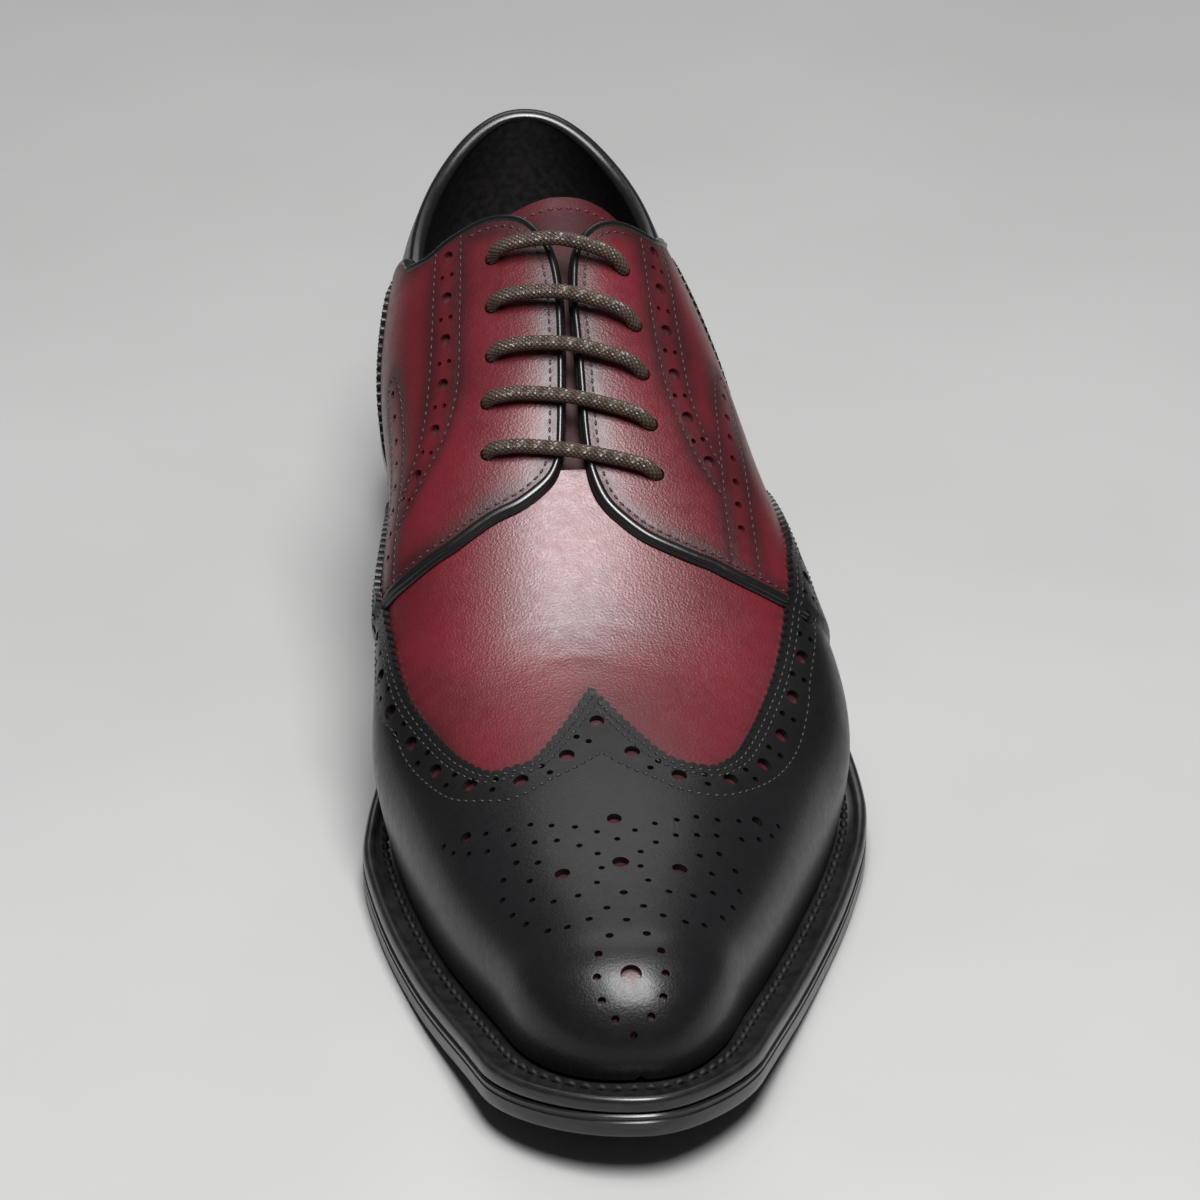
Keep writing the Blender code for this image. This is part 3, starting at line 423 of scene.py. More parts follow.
# Edge of each facing from the flap up the slit to the top line
FACING_MEDIAL = (
    (0.4372, -0.0240), (0.4446, -0.0157), (0.4484, -0.0103), (0.4558, -0.0058), (0.4640, -0.0030),
    (0.4760, -0.0015), (0.4950, -0.0010), (0.5300, -0.0008), (0.5700, -0.0008), (0.5920, -0.0013),
    (0.6080, -0.0023), (0.6190, -0.0036), (0.6290, -0.0054), (0.6390, -0.0080), (0.6470, -0.0118),
    (0.6525, -0.0165), (0.6550, -0.0215), (0.6570, -0.0270), (0.6580, -0.0315),
)
FACING_LATERAL = (
    (0.4187, 0.0227), (0.4261, 0.0149), (0.4372, 0.0096), (0.4484, 0.0063), (0.4632, 0.0044),
    (0.4780, 0.0036), (0.4950, 0.0030), (0.5300, 0.0022), (0.5700, 0.0014), (0.5920, 0.0015),
    (0.6040, 0.0020), (0.6140, 0.0031), (0.6230, 0.0048), (0.6310, 0.0075), (0.6360, 0.0108),
    (0.6400, 0.0150), (0.6440, 0.0195), (0.6490, 0.0225),
)


def run_lengths(points):
    """Length of a path up to each of its points."""
    return np.concatenate([[0], np.cumsum(np.linalg.norm(np.diff(points, axis=0), axis=1))])


def units(vectors):
    """The vectors at length one."""
    return vectors / np.linalg.norm(vectors, axis=1)[:, None]


class Chart:
    """Places points on the skin of the last by share of its length and distance from the ridge."""

    def __init__(self):
        toe = np.linspace(0, 1, 70) ** 2.2 * 0.12
        middle = np.linspace(0.12, 0.85, 260)[1:]
        heel = 1 - np.linspace(1, 0, 70)[1:] ** 2.2 * 0.15
        self.alongs = np.concatenate([toe, middle, heel])
        self.turns = (math.pi / 2) * np.linspace(0, 1, 181) ** 1.3
        self.shares = np.linspace(0, 1, 241)
        self.girths = {}
        self.lengths = {}
        self.turn_table = {}
        reach = np.zeros(len(self.alongs) - 1)
        for side in (LATERAL, MEDIAL):
            curves = np.array([skin_curve(along, side, self.turns) for along in self.alongs])
            steps = np.linalg.norm(np.diff(curves, axis=1), axis=2)
            lengths = np.concatenate([np.zeros((len(curves), 1)), np.cumsum(steps, axis=1)], axis=1)
            self.lengths[side] = lengths
            self.girths[side] = lengths[:, -1]
            self.turn_table[side] = np.array(
                [np.interp(self.shares * row[-1], row, self.turns) for row in lengths])
            for column_number in (0, 90, 140, 180):
                jump = np.linalg.norm(np.diff(curves[:, column_number], axis=0), axis=1)
                reach = np.maximum(reach, jump)
        self.arcs = np.concatenate([[0], np.cumsum(reach)])

    def to_flat(self, along):
        return np.interp(along, self.alongs, self.arcs)

    def from_flat(self, arc):
        return np.interp(arc, self.arcs, self.alongs)

    def girth(self, along, side):
        return np.interp(along, self.alongs, self.girths[side])

    def turn_at(self, along, offset, side):
        share = np.clip(np.abs(offset) / np.maximum(self.girth(along, side), 1e-7), 0, 1)
        i = np.clip(np.searchsorted(self.alongs, along, side="right") - 1, 0, len(self.alongs) - 2)
        w = (along - self.alongs[i]) / (self.alongs[i + 1] - self.alongs[i])
        k = share * (len(self.shares) - 1)
        low = np.clip(np.floor(k).astype(int), 0, len(self.shares) - 2)
        f = k - low
        table = self.turn_table[side]
        near = table[i, low] * (1 - f) + table[i, low + 1] * f
        far = table[i + 1, low] * (1 - f) + table[i + 1, low + 1] * f
        return near * (1 - w) + far * w

    def place(self, along, offset, lift=0.0):
        """Points that far out from the skin, and the skin's outward directions there."""
        along = np.clip(np.atleast_1d(np.asarray(along, float)), 1e-5, 1 - 1e-6)
        offset = np.broadcast_to(np.asarray(offset, float), along.shape)
        lift = np.broadcast_to(np.asarray(lift, float), along.shape)
        spots = np.zeros(along.shape + (3,))
        outward = np.zeros_like(spots)
        for side in (LATERAL, MEDIAL):
            mask = offset >= 0 if side == LATERAL else offset < 0
            if not mask.any():
                continue
            here = along[mask]
            turn = self.turn_at(here, offset[mask], side)
            spots[mask] = skin_curve(here, side, turn)
            step = np.minimum(2e-4, np.minimum(here, 1 - here) * 0.3)
            small = 1e-3
            inner = np.clip(turn, small, math.pi / 2 - small)
            fore = skin_curve(here + step, side, inner) - skin_curve(here - step, side, inner)
            down = skin_curve(here, side, inner + small) - skin_curve(here, side, inner - small)
            normal = np.cross(down, fore) * side
            outward[mask] = units(normal)
        spots = spots + outward * lift[:, None]
        spots[:, 0] += ACROSS
        return spots, outward

    def jacobian(self, along, offset):
        step = 2e-4
        along = np.clip(along, 2 * step, 1 - 2 * step)
        fore = self.place(along + step, offset)[0] - self.place(along - step, offset)[0]
        cross = self.place(along, offset + step)[0] - self.place(along, offset - step)[0]
        return fore / (2 * step), cross / (2 * step)

    def move(self, along, offset, vectors):
        """The chart's places after a step along the surface."""
        fore, cross = self.jacobian(along, offset)
        a = np.sum(fore * fore, axis=1)
        b = np.sum(fore * cross, axis=1)
        c = np.sum(cross * cross, axis=1)
        p = np.sum(fore * vectors, axis=1)
        q = np.sum(cross * vectors, axis=1)
        det = np.maximum(a * c - b * b, 1e-9)
        return along + (c * p - b * q) / det, offset + (a * q - b * p) / det

    def top_offset(self, along, side):
        """Distance from the ridge at which the top edge lies."""
        turn = top_turn(float(along), side)
        i = int(np.clip(np.searchsorted(self.alongs, along) - 1, 0, len(self.alongs) - 2))
        w = (along - self.alongs[i]) / (self.alongs[i + 1] - self.alongs[i])
        near = np.interp(turn, self.turns, self.lengths[side][i])
        far = np.interp(turn, self.turns, self.lengths[side][i + 1])
        return side * float(near * (1 - w) + far * w)

    def edge_line(self, table, side, count=160):
        """A panel's edge on one side, from the top edge down to the feather line."""
        line = []
        for share in np.linspace(0, 1, count):
            along = float(edge_along(table, share, side))
            top = abs(self.top_offset(along, side))
            whole = float(self.girth(along, side))
            line.append((along, side * (top + share * (whole - top))))
        return np.array(line)


def resample(line, step):
    """The line with its points an equal distance apart on the skin."""
    line = np.asarray(line, float)
    spots, _ = CHART.place(line[:, 0], line[:, 1])
    length = run_lengths(spots)
    count = max(2, int(round(length[-1] / step)))
    at = np.linspace(0, length[-1], count + 1)
    return np.stack([np.interp(at, length, line[:, 0]), np.interp(at, length, line[:, 1])], axis=1)


def rounded(line, steps=8):
    """A smooth curve through the points of an open line."""
    ends = np.concatenate([[2 * line[0] - line[1]], line, [2 * line[-1] - line[-2]]])
    points = []
    for k in range(1, len(ends) - 2):
        a, b, c, d = ends[k - 1:k + 3]
        for n in range(steps):
            t = n / steps
            points.append(0.5 * (2 * b + (c - a) * t + (2 * a - 5 * b + 4 * c - d) * t * t
                                 + (3 * b - a - 3 * c + d) * t ** 3))
    points.append(line[-1])
    return np.array(points)


def beside(line, distance, steps=3):
    """The line moved to its left on the skin; distance is one number or one for each point."""
    line = np.array(line, float)
    distance = np.broadcast_to(np.asarray(distance, float), (len(line),)) / steps
    for _ in range(steps):
        spots, outward = CHART.place(line[:, 0], line[:, 1])
        left = units(np.cross(outward, np.gradient(spots, axis=0)))
        along, offset = CHART.move(line[:, 0], line[:, 1], left * distance[:, None])
        line = np.stack([along, offset], axis=1)
    return line


def pinked(line):
    """The line with rounded teeth on its left."""
    pitch = bpy.context.scene.shoe_sizes.tooth
    depth = bpy.context.scene.shoe_sizes.tooth_depth
    even = resample(line, pitch / 6)
    wave = np.abs(np.sin(np.pi * np.arange(len(even)) / 6))
    return beside(even, depth * (wave ** 0.8 - 0.35), steps=1)


def hole_loop(along, offset, radius, sides):
    """Outline of a round hole."""
    spot, outward = CHART.place(np.array([along]), np.array([offset]))
    fore, _ = CHART.jacobian(np.array([along]), np.array([offset]))
    fore = fore[0] / np.linalg.norm(fore[0])
    cross = np.cross(outward[0], fore)
    angles = 2 * np.pi * np.arange(sides) / sides
    spokes = radius * (np.cos(angles)[:, None] * fore + np.sin(angles)[:, None] * cross)
    a, b = CHART.move(np.full(sides, along), np.full(sides, offset), spokes)
    return np.stack([a, b], axis=1)


def inside(points, polygon):
    """Which points lie inside a closed polygon."""
    result = np.zeros(len(points), bool)
    x, y = points[:, 0], points[:, 1]
    for (x0, y0), (x1, y1) in zip(polygon, np.roll(polygon, -1, axis=0)):
        if y0 == y1:
            continue
        crosses = ((y0 > y) != (y1 > y)) & (x < (x1 - x0) * (y - y0) / (y1 - y0) + x0)
        result ^= crosses
    return result


def tree_of(points):
    """A search tree of flat points."""
    tree = KDTree(len(points))
    for number, (x, y) in enumerate(points):
        tree.insert((x, y, 0), number)
    tree.balance()
    return tree


def distances(points, tree):
    """How far each point is from the nearest one in the tree."""
    return np.array([tree.find((x, y, 0))[2] for x, y in points])


def in_holes(points, loops):
    """Which points lie in one of the holes."""
    covered = np.zeros(len(points), bool)
    for loop in loops:
        middle = loop.mean(axis=0)
        reach = np.linalg.norm(loop - middle, axis=1).max()
        close = np.flatnonzero(np.linalg.norm(points - middle, axis=1) < reach * 1.05)
        if len(close):
            covered[close] |= inside(points[close], loop)
    return covered


class Panel:
    """A flat pattern of leather that is laid on the skin: outline, holes and stitched rows."""

    def __init__(self, outline, spacing):
        self.outline = np.asarray(outline)
        self.spacing = spacing
        self.holes = []
        self.rows = []

    def punch(self, along, offset, radius):
        self.holes.append((along, offset, radius))

    def flat(self, line):
        return np.stack([CHART.to_flat(line[:, 0]), line[:, 1]], axis=1)

    def build(self, name, inner, outer, groove=0.00012, drop=0.00002, relief=None):
        """The panel as a closed mesh between two lifts, which are functions of the place."""
        border = self.flat(self.outline)
        points = list(border)
        count = len(border)
        edges = [(k, (k + 1) % count) for k in range(count)]
        rims = [border]
        loose = []
        loops = []
        for along, offset, radius in self.holes:
            sides = 20 if radius > 0.0011 else 12
            loop = self.flat(hole_loop(along, offset, radius, sides))
            loops.append(loop)
            rims.append(loop)
            base = len(points)
            points += list(loop)
            edges += [(base + k, base + (k + 1) % sides) for k in range(sides)]
            collar = hole_loop(along, offset, radius + 0.00030, sides)
            loose += list(self.flat(collar))
        rim_count = len(points)
        rows = [resample(row, 0.0009) for row in self.rows]
        for row in rows:
            for shift in (0.0, 0.00055, -0.00055):
                line = row if shift == 0 else beside(row, shift, steps=1)
                loose += list(self.flat(line))
        rim_tree = tree_of(np.concatenate(rims))
        loose = np.array(loose) if loose else np.zeros((0, 2))
        if len(loose):
            keep = inside(loose, border) & (distances(loose, rim_tree) > 0.00022)
            loose = loose[keep & ~in_holes(loose, loops)]
        low = border.min(axis=0)
        high = border.max(axis=0)
        step = self.spacing
        lines = []
        for k, x in enumerate(np.arange(low[0], high[0], step * 0.866)):
            ys = np.arange(low[1] + (k % 2) * step / 2, high[1], step)
            lines.append(np.stack([np.full(len(ys), x), ys], axis=1))
        grid = np.concatenate(lines)
        grid = grid[inside(grid, border)]
        fixed = tree_of(np.concatenate(rims + [loose]) if len(loose) else np.concatenate(rims))
        grid = grid[distances(grid, fixed) > step * 0.55]
        grid = grid[~in_holes(grid, loops)]
        everything = np.concatenate([np.array(points), loose, grid])
        verts, _, faces, origins, _, _ = delaunay_2d_cdt(
            [Vector(point) for point in everything], edges, [], 0, 1e-8)
        places = np.array([tuple(vert) for vert in verts])
        faces = np.array([face for face in faces])
        centres = places[faces].mean(axis=1)
        faces = faces[inside(centres, border) & ~in_holes(centres, loops)]
        used = np.unique(faces)
        renumber = np.full(len(places), -1)
        renumber[used] = np.arange(len(used))
        faces = renumber[faces]
        places = places[used]
        on_rim = np.array([any(o < rim_count for o in origins[k]) for k in used])
        along = CHART.from_flat(places[:, 0])
        offset = places[:, 1]
        rise = outer(along, offset) - drop * on_rim
        seam = np.full(len(places), 1.0)
        if rows:
            row_tree = tree_of(self.flat(np.concatenate(rows)))
            away = distances(places, row_tree)
            rise = rise - groove * np.exp(-(away / 0.00055) ** 2)
            seam = np.minimum(seam, away / 0.004)
        seam = np.minimum(seam, distances(places, tree_of(border)) / 0.006)
        if relief is not None:
            rise = rise + relief(along, offset)
        self.places = (along, offset)
        top, outward = CHART.place(along, offset, rise)
        even, _ = CHART.place(along, offset, outer(along, offset))
        low_lift = np.minimum(inner(along, offset), rise - 0.0002)
        bottom, _ = CHART.place(along, offset, low_lift)
        shading = outward + vertex_normals(top, faces) - vertex_normals(even, faces)
        return solid_sheet(name, top, bottom, faces, np.clip(1 - seam, 0, 1), shading)


def vertex_normals(points, faces):
    """Outward normals of a sheet of triangles, weighted by their areas."""
    a, b, c = (points[faces[:, k]] for k in range(3))
    weights = np.cross(c - a, b - a)
    normals = np.zeros_like(points)
    for k in range(3):
        np.add.at(normals, faces[:, k], weights)
    return normals / np.maximum(np.linalg.norm(normals, axis=1), 1e-12)[:, None]


def solid_sheet(name, top, bottom, faces, seam, shading):
    """Closed mesh from two layers of the same triangles, with its rim faces."""
    count = len(top)
    shading = units(shading)
    up = faces[:, ::-1]
    directed = {(int(face[k]), int(face[(k + 1) % 3])) for face in up for k in range(3)}
    rim = np.array([edge for edge in directed if (edge[1], edge[0]) not in directed])
    points = np.concatenate([top, bottom])
    walls = np.stack([rim[:, 1], rim[:, 0], rim[:, 0] + count, rim[:, 1] + count], axis=1)
    wall_normals = np.cross(points[walls[:, 1]] - points[walls[:, 0]],
                            points[walls[:, 3]] - points[walls[:, 0]])
    wall_normals /= np.maximum(np.linalg.norm(wall_normals, axis=1), 1e-12)[:, None]
    polygons = up.tolist() + (faces + count).tolist() + walls.tolist()
    mesh = bpy.data.meshes.new(name)
    mesh.from_pydata(points.tolist(), [], polygons)
    mesh.shade_smooth()
    corners = np.concatenate([shading[up].reshape(-1, 3), -shading[faces].reshape(-1, 3),
                              np.repeat(wall_normals, 4, axis=0)])
    mesh.normals_split_custom_set(corners.tolist())
    layer = mesh.attributes.new("seam", "FLOAT", "POINT")
    layer.data.foreach_set("value", np.concatenate([seam, seam]).astype(np.float32))
    return linked(name, mesh)


def linked(name, mesh):
    """The mesh as an object of the scene."""
    piece = bpy.data.objects.new(name, mesh)
    bpy.context.collection.objects.link(piece)
    return piece


def smooth_mesh(name, verts, polygons, sharp_above=None):
    """A mesh with smooth faces; edges that bend more than the angle stay sharp."""
    mesh = bpy.data.meshes.new(name)
    mesh.from_pydata([tuple(v) for v in verts], [], polygons)
    body = bmesh.new()
    body.from_mesh(mesh)
    bmesh.ops.recalc_face_normals(body, faces=body.faces)
    for face in body.faces:
        face.smooth = True
    if sharp_above is not None:
        for edge in body.edges:
            if len(edge.link_faces) == 2:
                edge.smooth = edge.calc_face_angle(0) < sharp_above
    body.to_mesh(mesh)
    body.free()
    return linked(name, mesh)


def lap_lift():
    """Extra height of the facings as a function of the place."""
    lines = {}
    for side in (LATERAL, MEDIAL):
        line = CHART.edge_line(FLAP_EDGE, side)
        lines[side] = line[np.argsort(np.abs(line[:, 1]))]

    def lift(along, offset):
        along = np.asarray(along, float)
        offset = np.asarray(offset, float)
        edge = np.zeros(along.shape)
        for side in (LATERAL, MEDIAL):
            mask = offset >= 0 if side == LATERAL else offset < 0
            line = lines[side]
            edge[mask] = np.interp(np.abs(offset[mask]), np.abs(line[:, 1]), line[:, 0])
        return LAP_RISE * smooth_step(-0.002, 0.006, along - edge)

    return lift


def ring_faces(rings, sides, base=0, around=False):
    """Faces between the rings of a tube, which end in caps or run round to the first ring."""
    faces = []
    for ring in range(rings if around else rings - 1):
        low = base + ring * sides
        high = base + (ring + 1) % rings * sides
        for n in range(sides):
            m = (n + 1) % sides
            faces.append((low + n, low + m, high + m, high + n))
    if not around:
        faces.append(tuple(base + n for n in range(sides)))
        faces.append(tuple(base + (rings - 1) * sides + n for n in range(sides)))
    return faces


def tube(name, centres, ups, wide, tall, sides=14):
    """A rounded strip along a path; ups are the directions of its height."""
    ahead = units(np.gradient(centres, axis=0))
    cross = units(np.cross(ups, ahead))
    ups = np.cross(ahead, cross)
    angles = 2 * np.pi * np.arange(sides) / sides
    rings = (centres[:, None, :]
             + cross[:, None, :] * (np.cos(angles)[None, :] * np.reshape(wide, (-1, 1)) / 2)[..., None]
             + ups[:, None, :] * (np.sin(angles)[None, :] * np.reshape(tall, (-1, 1)) / 2)[..., None])
    return smooth_mesh(name, rings.reshape(-1, 3), ring_faces(len(centres), sides), 1.2)


def stitches(name, runs, thick, fill=0.74):
    """Short threads between the points of each run; a run is places and outward directions."""
    rings = ((0.00, 0.30, -0.55), (0.18, 0.80, 0.05), (0.5, 1.0, 0.42), (0.82, 0.80, 0.05),
             (1.0, 0.30, -0.55))
    sides = 6
    verts = []
    polygons = []
    for spots, outward in runs:
        for k in range(len(spots) - 1):
            start = spots[k] + (spots[k + 1] - spots[k]) * (1 - fill) / 2
            reach = (spots[k + 1] - spots[k]) * fill
            up = outward[k]
            cross = np.cross(up, reach)
            cross /= np.linalg.norm(cross)
            base = len(verts)
            for share, width, height in rings:
                centre = start + reach * share + up * height * thick / 2
                for n in range(sides):
                    turn = 2 * math.pi * n / sides
                    verts.append(centre + (cross * math.cos(turn) + up * math.sin(turn) * 0.8)
                                 * width * thick / 2)
            polygons += ring_faces(len(rings), sides, base)
    return smooth_mesh(name, verts, polygons)


def run_of(line, pitch, lift):
    """Where a row's needle holes are, with the outward directions."""
    even = resample(line, pitch)
    return CHART.place(even[:, 0], even[:, 1], lift(even[:, 0], even[:, 1]))


def brogue_run(panel, line, spacing, big, small, away, start=0.0):
    """Large holes along a line with a pair of small ones between."""
    even = resample(line, 0.0003)
    spots, outward = CHART.place(even[:, 0], even[:, 1])
    length = run_lengths(spots)
    at = start
    left = beside(even, away, steps=1)
    right = beside(even, -away, steps=1)
    while at < length[-1]:
        k = int(np.searchsorted(length, at))
        panel.punch(even[k, 0], even[k, 1], big)
        if small and at + spacing / 2 < length[-1]:
            k = int(np.searchsorted(length, at + spacing / 2))
            panel.punch(left[k, 0], left[k, 1], small)
            panel.punch(right[k, 0], right[k, 1], small)
        at += spacing


def feather_line(side, start, stop, count):
    """The foot of the skin on one side between two shares of the length."""
    arcs = np.linspace(CHART.to_flat(start), CHART.to_flat(stop), count)
    alongs = CHART.from_flat(arcs)
    return np.stack([alongs, side * CHART.girth(alongs, side)], axis=1)


def joined(*lines):
    """One line out of several, without repeated points."""
    points = []
    for line in lines:
        for point in line:
            if not points or np.abs(points[-1] - point).max() > 1e-6:
                points.append(np.asarray(point, float))
    return np.array(points)


def wing_lines():
    """The wing's edge from the medial foot over the peak to the lateral foot."""
    medial = CHART.edge_line(WING_EDGE, MEDIAL)
    lateral = CHART.edge_line(WING_EDGE, LATERAL)
    return medial[::-1], lateral


def wing_front(front, distance):
    """A row inside the wing's edge: charted in front, parallel to the edge along the tails."""
    medial, lateral = wing_lines()
    medial_tail = beside(medial, -distance)
    lateral_tail = beside(lateral, -distance)
    front = np.array(front)
    medial_tail = medial_tail[(medial_tail[:, 0] > front[0][0] + 0.02) & (medial[:, 0] < 0.60)]
    lateral_tail = lateral_tail[(lateral_tail[:, 0] > front[-1][0] + 0.02) & (lateral[:, 0] < 0.60)]
    peak = int(np.argmin(np.abs(front[:, 1])))
    left = rounded(joined(resample(medial_tail, 0.012), front[:peak + 1]))
    right = rounded(joined(front[peak:], resample(lateral_tail, 0.012)))
    return left, right


def medallion_axis(along):
    """Distance of the medallion's axis from the ridge."""
    return -0.0014 + 0.0094 * min(along, 0.15)


def build_wing_cap(lift):
    """The wing cap with its medallion, punched row, teeth and stitched rows."""
    medial, lateral = wing_lines()
    edge = joined(pinked(medial), pinked(lateral))
    feet = joined(feather_line(LATERAL, lateral[-1][0], TIP, 190)[1:],
                  feather_line(MEDIAL, TIP, medial[0][0], 190)[:-1])
    panel = Panel(joined(edge, feet), 0.0017)
    for punch in MEDALLION:
        axis = medallion_axis(punch.along)
        for way in ((1, -1) if punch.away else (1,)):
            panel.punch(punch.along, axis + way * punch.away, punch.radius)
    left, right = wing_front(WING_HOLES_FRONT, 0.0046)
    brogue_run(panel, left[::-1], *BROGUE)
    brogue_run(panel, right, *BROGUE, start=BROGUE[0])
    for line in (medial, lateral):
        panel.rows.append(beside(line, -0.0012)[4:-2])
        panel.rows.append(beside(line, -0.0026)[6:-2])
    row_left, row_right = wing_front(WING_ROW_FRONT, 0.0072)
    panel.rows.append(row_left)
    panel.rows.append(row_right)
    over = LEATHER_GAP + OVERLAY_THICK
    piece = panel.build("wing_cap_leather", lambda a, o: lift(a, o) + 0.0001,
                        lambda a, o: lift(a, o) + over)
    return piece, panel.rows


def top_line(side, start, stop, count):
    """The top edge of facing and collar on one side, the corner at the top of the slit eased."""
    line = []
    for along in np.linspace(start, stop, count):
        offset = abs(CHART.top_offset(along, side))
        ease = 0.0030 * float(smooth_step(0.590, 0.628, along)) ** 2
        line.append((along, side * max(offset, SLIT_HALF * 0.9 + ease)))
    return np.array(line)


def between_lines(first, second, count):
    """The line halfway between two open lines."""
    at = np.linspace(0, 1, count)
    ways = []
    for line in (first, second):
        steps = np.linspace(0, 1, len(line))
        ways.append(np.stack([np.interp(at, steps, line[:, k]) for k in (0, 1)], axis=1))
    return (ways[0] + ways[1]) / 2


def quarter_edges(side):
    """The quarter's edge from the foot up the flap and the slit, along the collar to the counter."""
    table = np.array(FACING_LATERAL if side == LATERAL else FACING_MEDIAL)
    flap = CHART.edge_line(FLAP_EDGE, side)[::-1]
    flap = flap[np.abs(flap[:, 1]) > abs(table[0][1]) + 0.004]
    facing = rounded(joined(flap[-12::5], table, top_line(side, 0.668, 0.676, 3)))
    flap = flap[np.abs(flap[:, 1]) > np.abs(facing[0, 1]) + 0.0005]
    collar = top_line(side, 0.678, QUARTER_BACK, 160)
    edge = resample(joined(flap, facing, collar), 0.0011)
    reach = int(np.argmin(np.abs(edge[:, 0] - 0.672) + (np.abs(edge[:, 1]) > 0.045) * 9))
    return edge, reach


def stripe_lines(side):
    """The stripe's two edges and the band's outline on one side."""
    tables = ((STRIPE_LATERAL_INNER, STRIPE_LATERAL_OUTER, BAND_LATERAL) if side == LATERAL
              else (STRIPE_MEDIAL_INNER, STRIPE_MEDIAL_OUTER, BAND_MEDIAL))
    return [rounded(np.array(table)) for table in tables]


def before_band(line, band):
    """The part of a stripe's line from the top line down to where it meets the band."""
    covered = np.flatnonzero(inside(np.asarray(line), band))
    return line[:covered[0]] if len(covered) else line


def build_quarter(side):
    """A facing and quarter in one piece, with its stripe, its band and the lace holes."""
    edge, reach = quarter_edges(side)
    back = np.stack([np.full(30, QUARTER_BACK),
                     np.linspace(edge[-1][1], side * CHART.girth(QUARTER_BACK, side), 30)], axis=1)
    feet = feather_line(side, QUARTER_BACK, edge[0][0], 200)
    panel = Panel(joined(edge, back[1:], feet[1:-1]), 0.0019)
    for row in range(len(EYELETS)):
        along, offset = hole_place(row, side)
        panel.punch(along, offset, LACE_HOLE)
    inner, outer, band = stripe_lines(side)
    inner, outer = before_band(inner, band), before_band(outer, band)
    stripe = before_band(between_lines(*stripe_lines(side)[:2], 90)[:84], band)
    brogue_run(panel, stripe, 0.0104, 0.00135, 0.00056, 0.0012, start=0.004)
    half = len(band) // 2
    middle = between_lines(band[:half], band[half:][::-1], 60)
    brogue_run(panel, middle[4:50], 0.0058, 0.00085, 0, 0, start=0.003)
    panel.rows += [inner, outer, band, beside(edge[6:reach - 14], -side * 0.0026)]
    piece = panel.build("quarter_" + by_side(side), lambda a, o: np.full(np.shape(a), 0.00005),
                        lambda a, o: np.full(np.shape(a), LAP_RISE))
    return piece, panel.rows


def build_backings(side):
    """Thin leather under the punched stripe and band, which shows through their holes."""
    inner, outer, band = stripe_lines(side)
    pieces = []
    for name, outline in (("stripe_backing_", joined(inner, outer[::-1])), ("band_backing_", band)):
        panel = Panel(resample(outline, 0.002), 0.0025)
        pieces.append(panel.build(name + by_side(side), lambda a, o: np.full(np.shape(a), -0.0008),
                                  lambda a, o: np.full(np.shape(a), -0.00005)))
    return pieces


def vamp_relief(along, offset):
    """Fine creases over the ball, in front of the peak of the throat."""
    depth = np.zeros(np.shape(along))
    for place, bend, deep, wide in ((0.353, 26.0, 0.00017, 0.0010), (0.361, 20.0, 0.00014, 0.0009),
                                    (0.347, 34.0, 0.00014, 0.0008), (0.371, 14.0, 0.00010, 0.0009)):
        line = place - bend * (offset + 0.002) ** 2 + 0.0012 * np.sin(offset * 900)
        reach = smooth_step(0.022, 0.008, np.abs(offset + 0.002))
        depth -= deep * reach * np.exp(-(((along - line) * UPPER_LENGTH) / wide * 1.8) ** 2)
    return depth


def build_vamp():
    """The vamp, which runs under the wing in front and under the facings behind; painted shade darkens
    it under the wing cap.
    """
    behind = []
    for side in (MEDIAL, LATERAL):
        flap = CHART.edge_line(FLAP_EDGE, side, count=60)
        rear = np.stack([flap[:, 0] + 0.024, flap[:, 1]], axis=1)
        rear = rear[np.abs(rear[:, 1]) > 0.010]
        rear[:, 1] = side * np.minimum(np.abs(rear[:, 1]), CHART.girth(rear[:, 0], side))
        behind.append(rear[::-1] if side == MEDIAL else rear)
    middle = np.array([(0.468, offset) for offset in np.linspace(-0.0095, 0.0095, 12)])
    rear = joined(behind[0], middle, behind[1])
    feet = joined(feather_line(LATERAL, rear[-1][0], TIP, 160)[1:],
                  feather_line(MEDIAL, TIP, rear[0][0], 160)[:-1])
    panel = Panel(joined(rear, feet), 0.0017)
    piece = panel.build("vamp_leather", lambda a, o: np.full(np.shape(a), -0.0010),
                        lambda a, o: np.zeros(np.shape(a)), relief=vamp_relief)
    shade = piece.data.attributes["seam"]
    along, offset = (np.concatenate([values, values]) for values in panel.places)
    medial, lateral = wing_lines()
    line = joined(medial, lateral)
    border = joined(line, [(0.0, 0.11)], [(0.0, -0.11)])
    covered = inside(np.stack([along, offset], axis=1), border)
    away = distances(panel.flat(np.stack([along, offset], axis=1)), tree_of(panel.flat(line)))
    # Burnish along the wing's edge, fading away from it.
    edge_burnish_and_painted_shade = 0.55 * np.exp(-(away / 0.0016) ** 2) + 0.14 * np.exp(-(away / 0.006) ** 2)
    # Painted shade: where the wing cap covers the vamp, seen through the cap's holes, the vamp takes the
    # full dark tone.
    edge_burnish_and_painted_shade = np.where(covered, 1.0, edge_burnish_and_painted_shade)
    shade.data.foreach_set("value", np.clip(edge_burnish_and_painted_shade, 0, 1).astype(np.float32))
    return piece


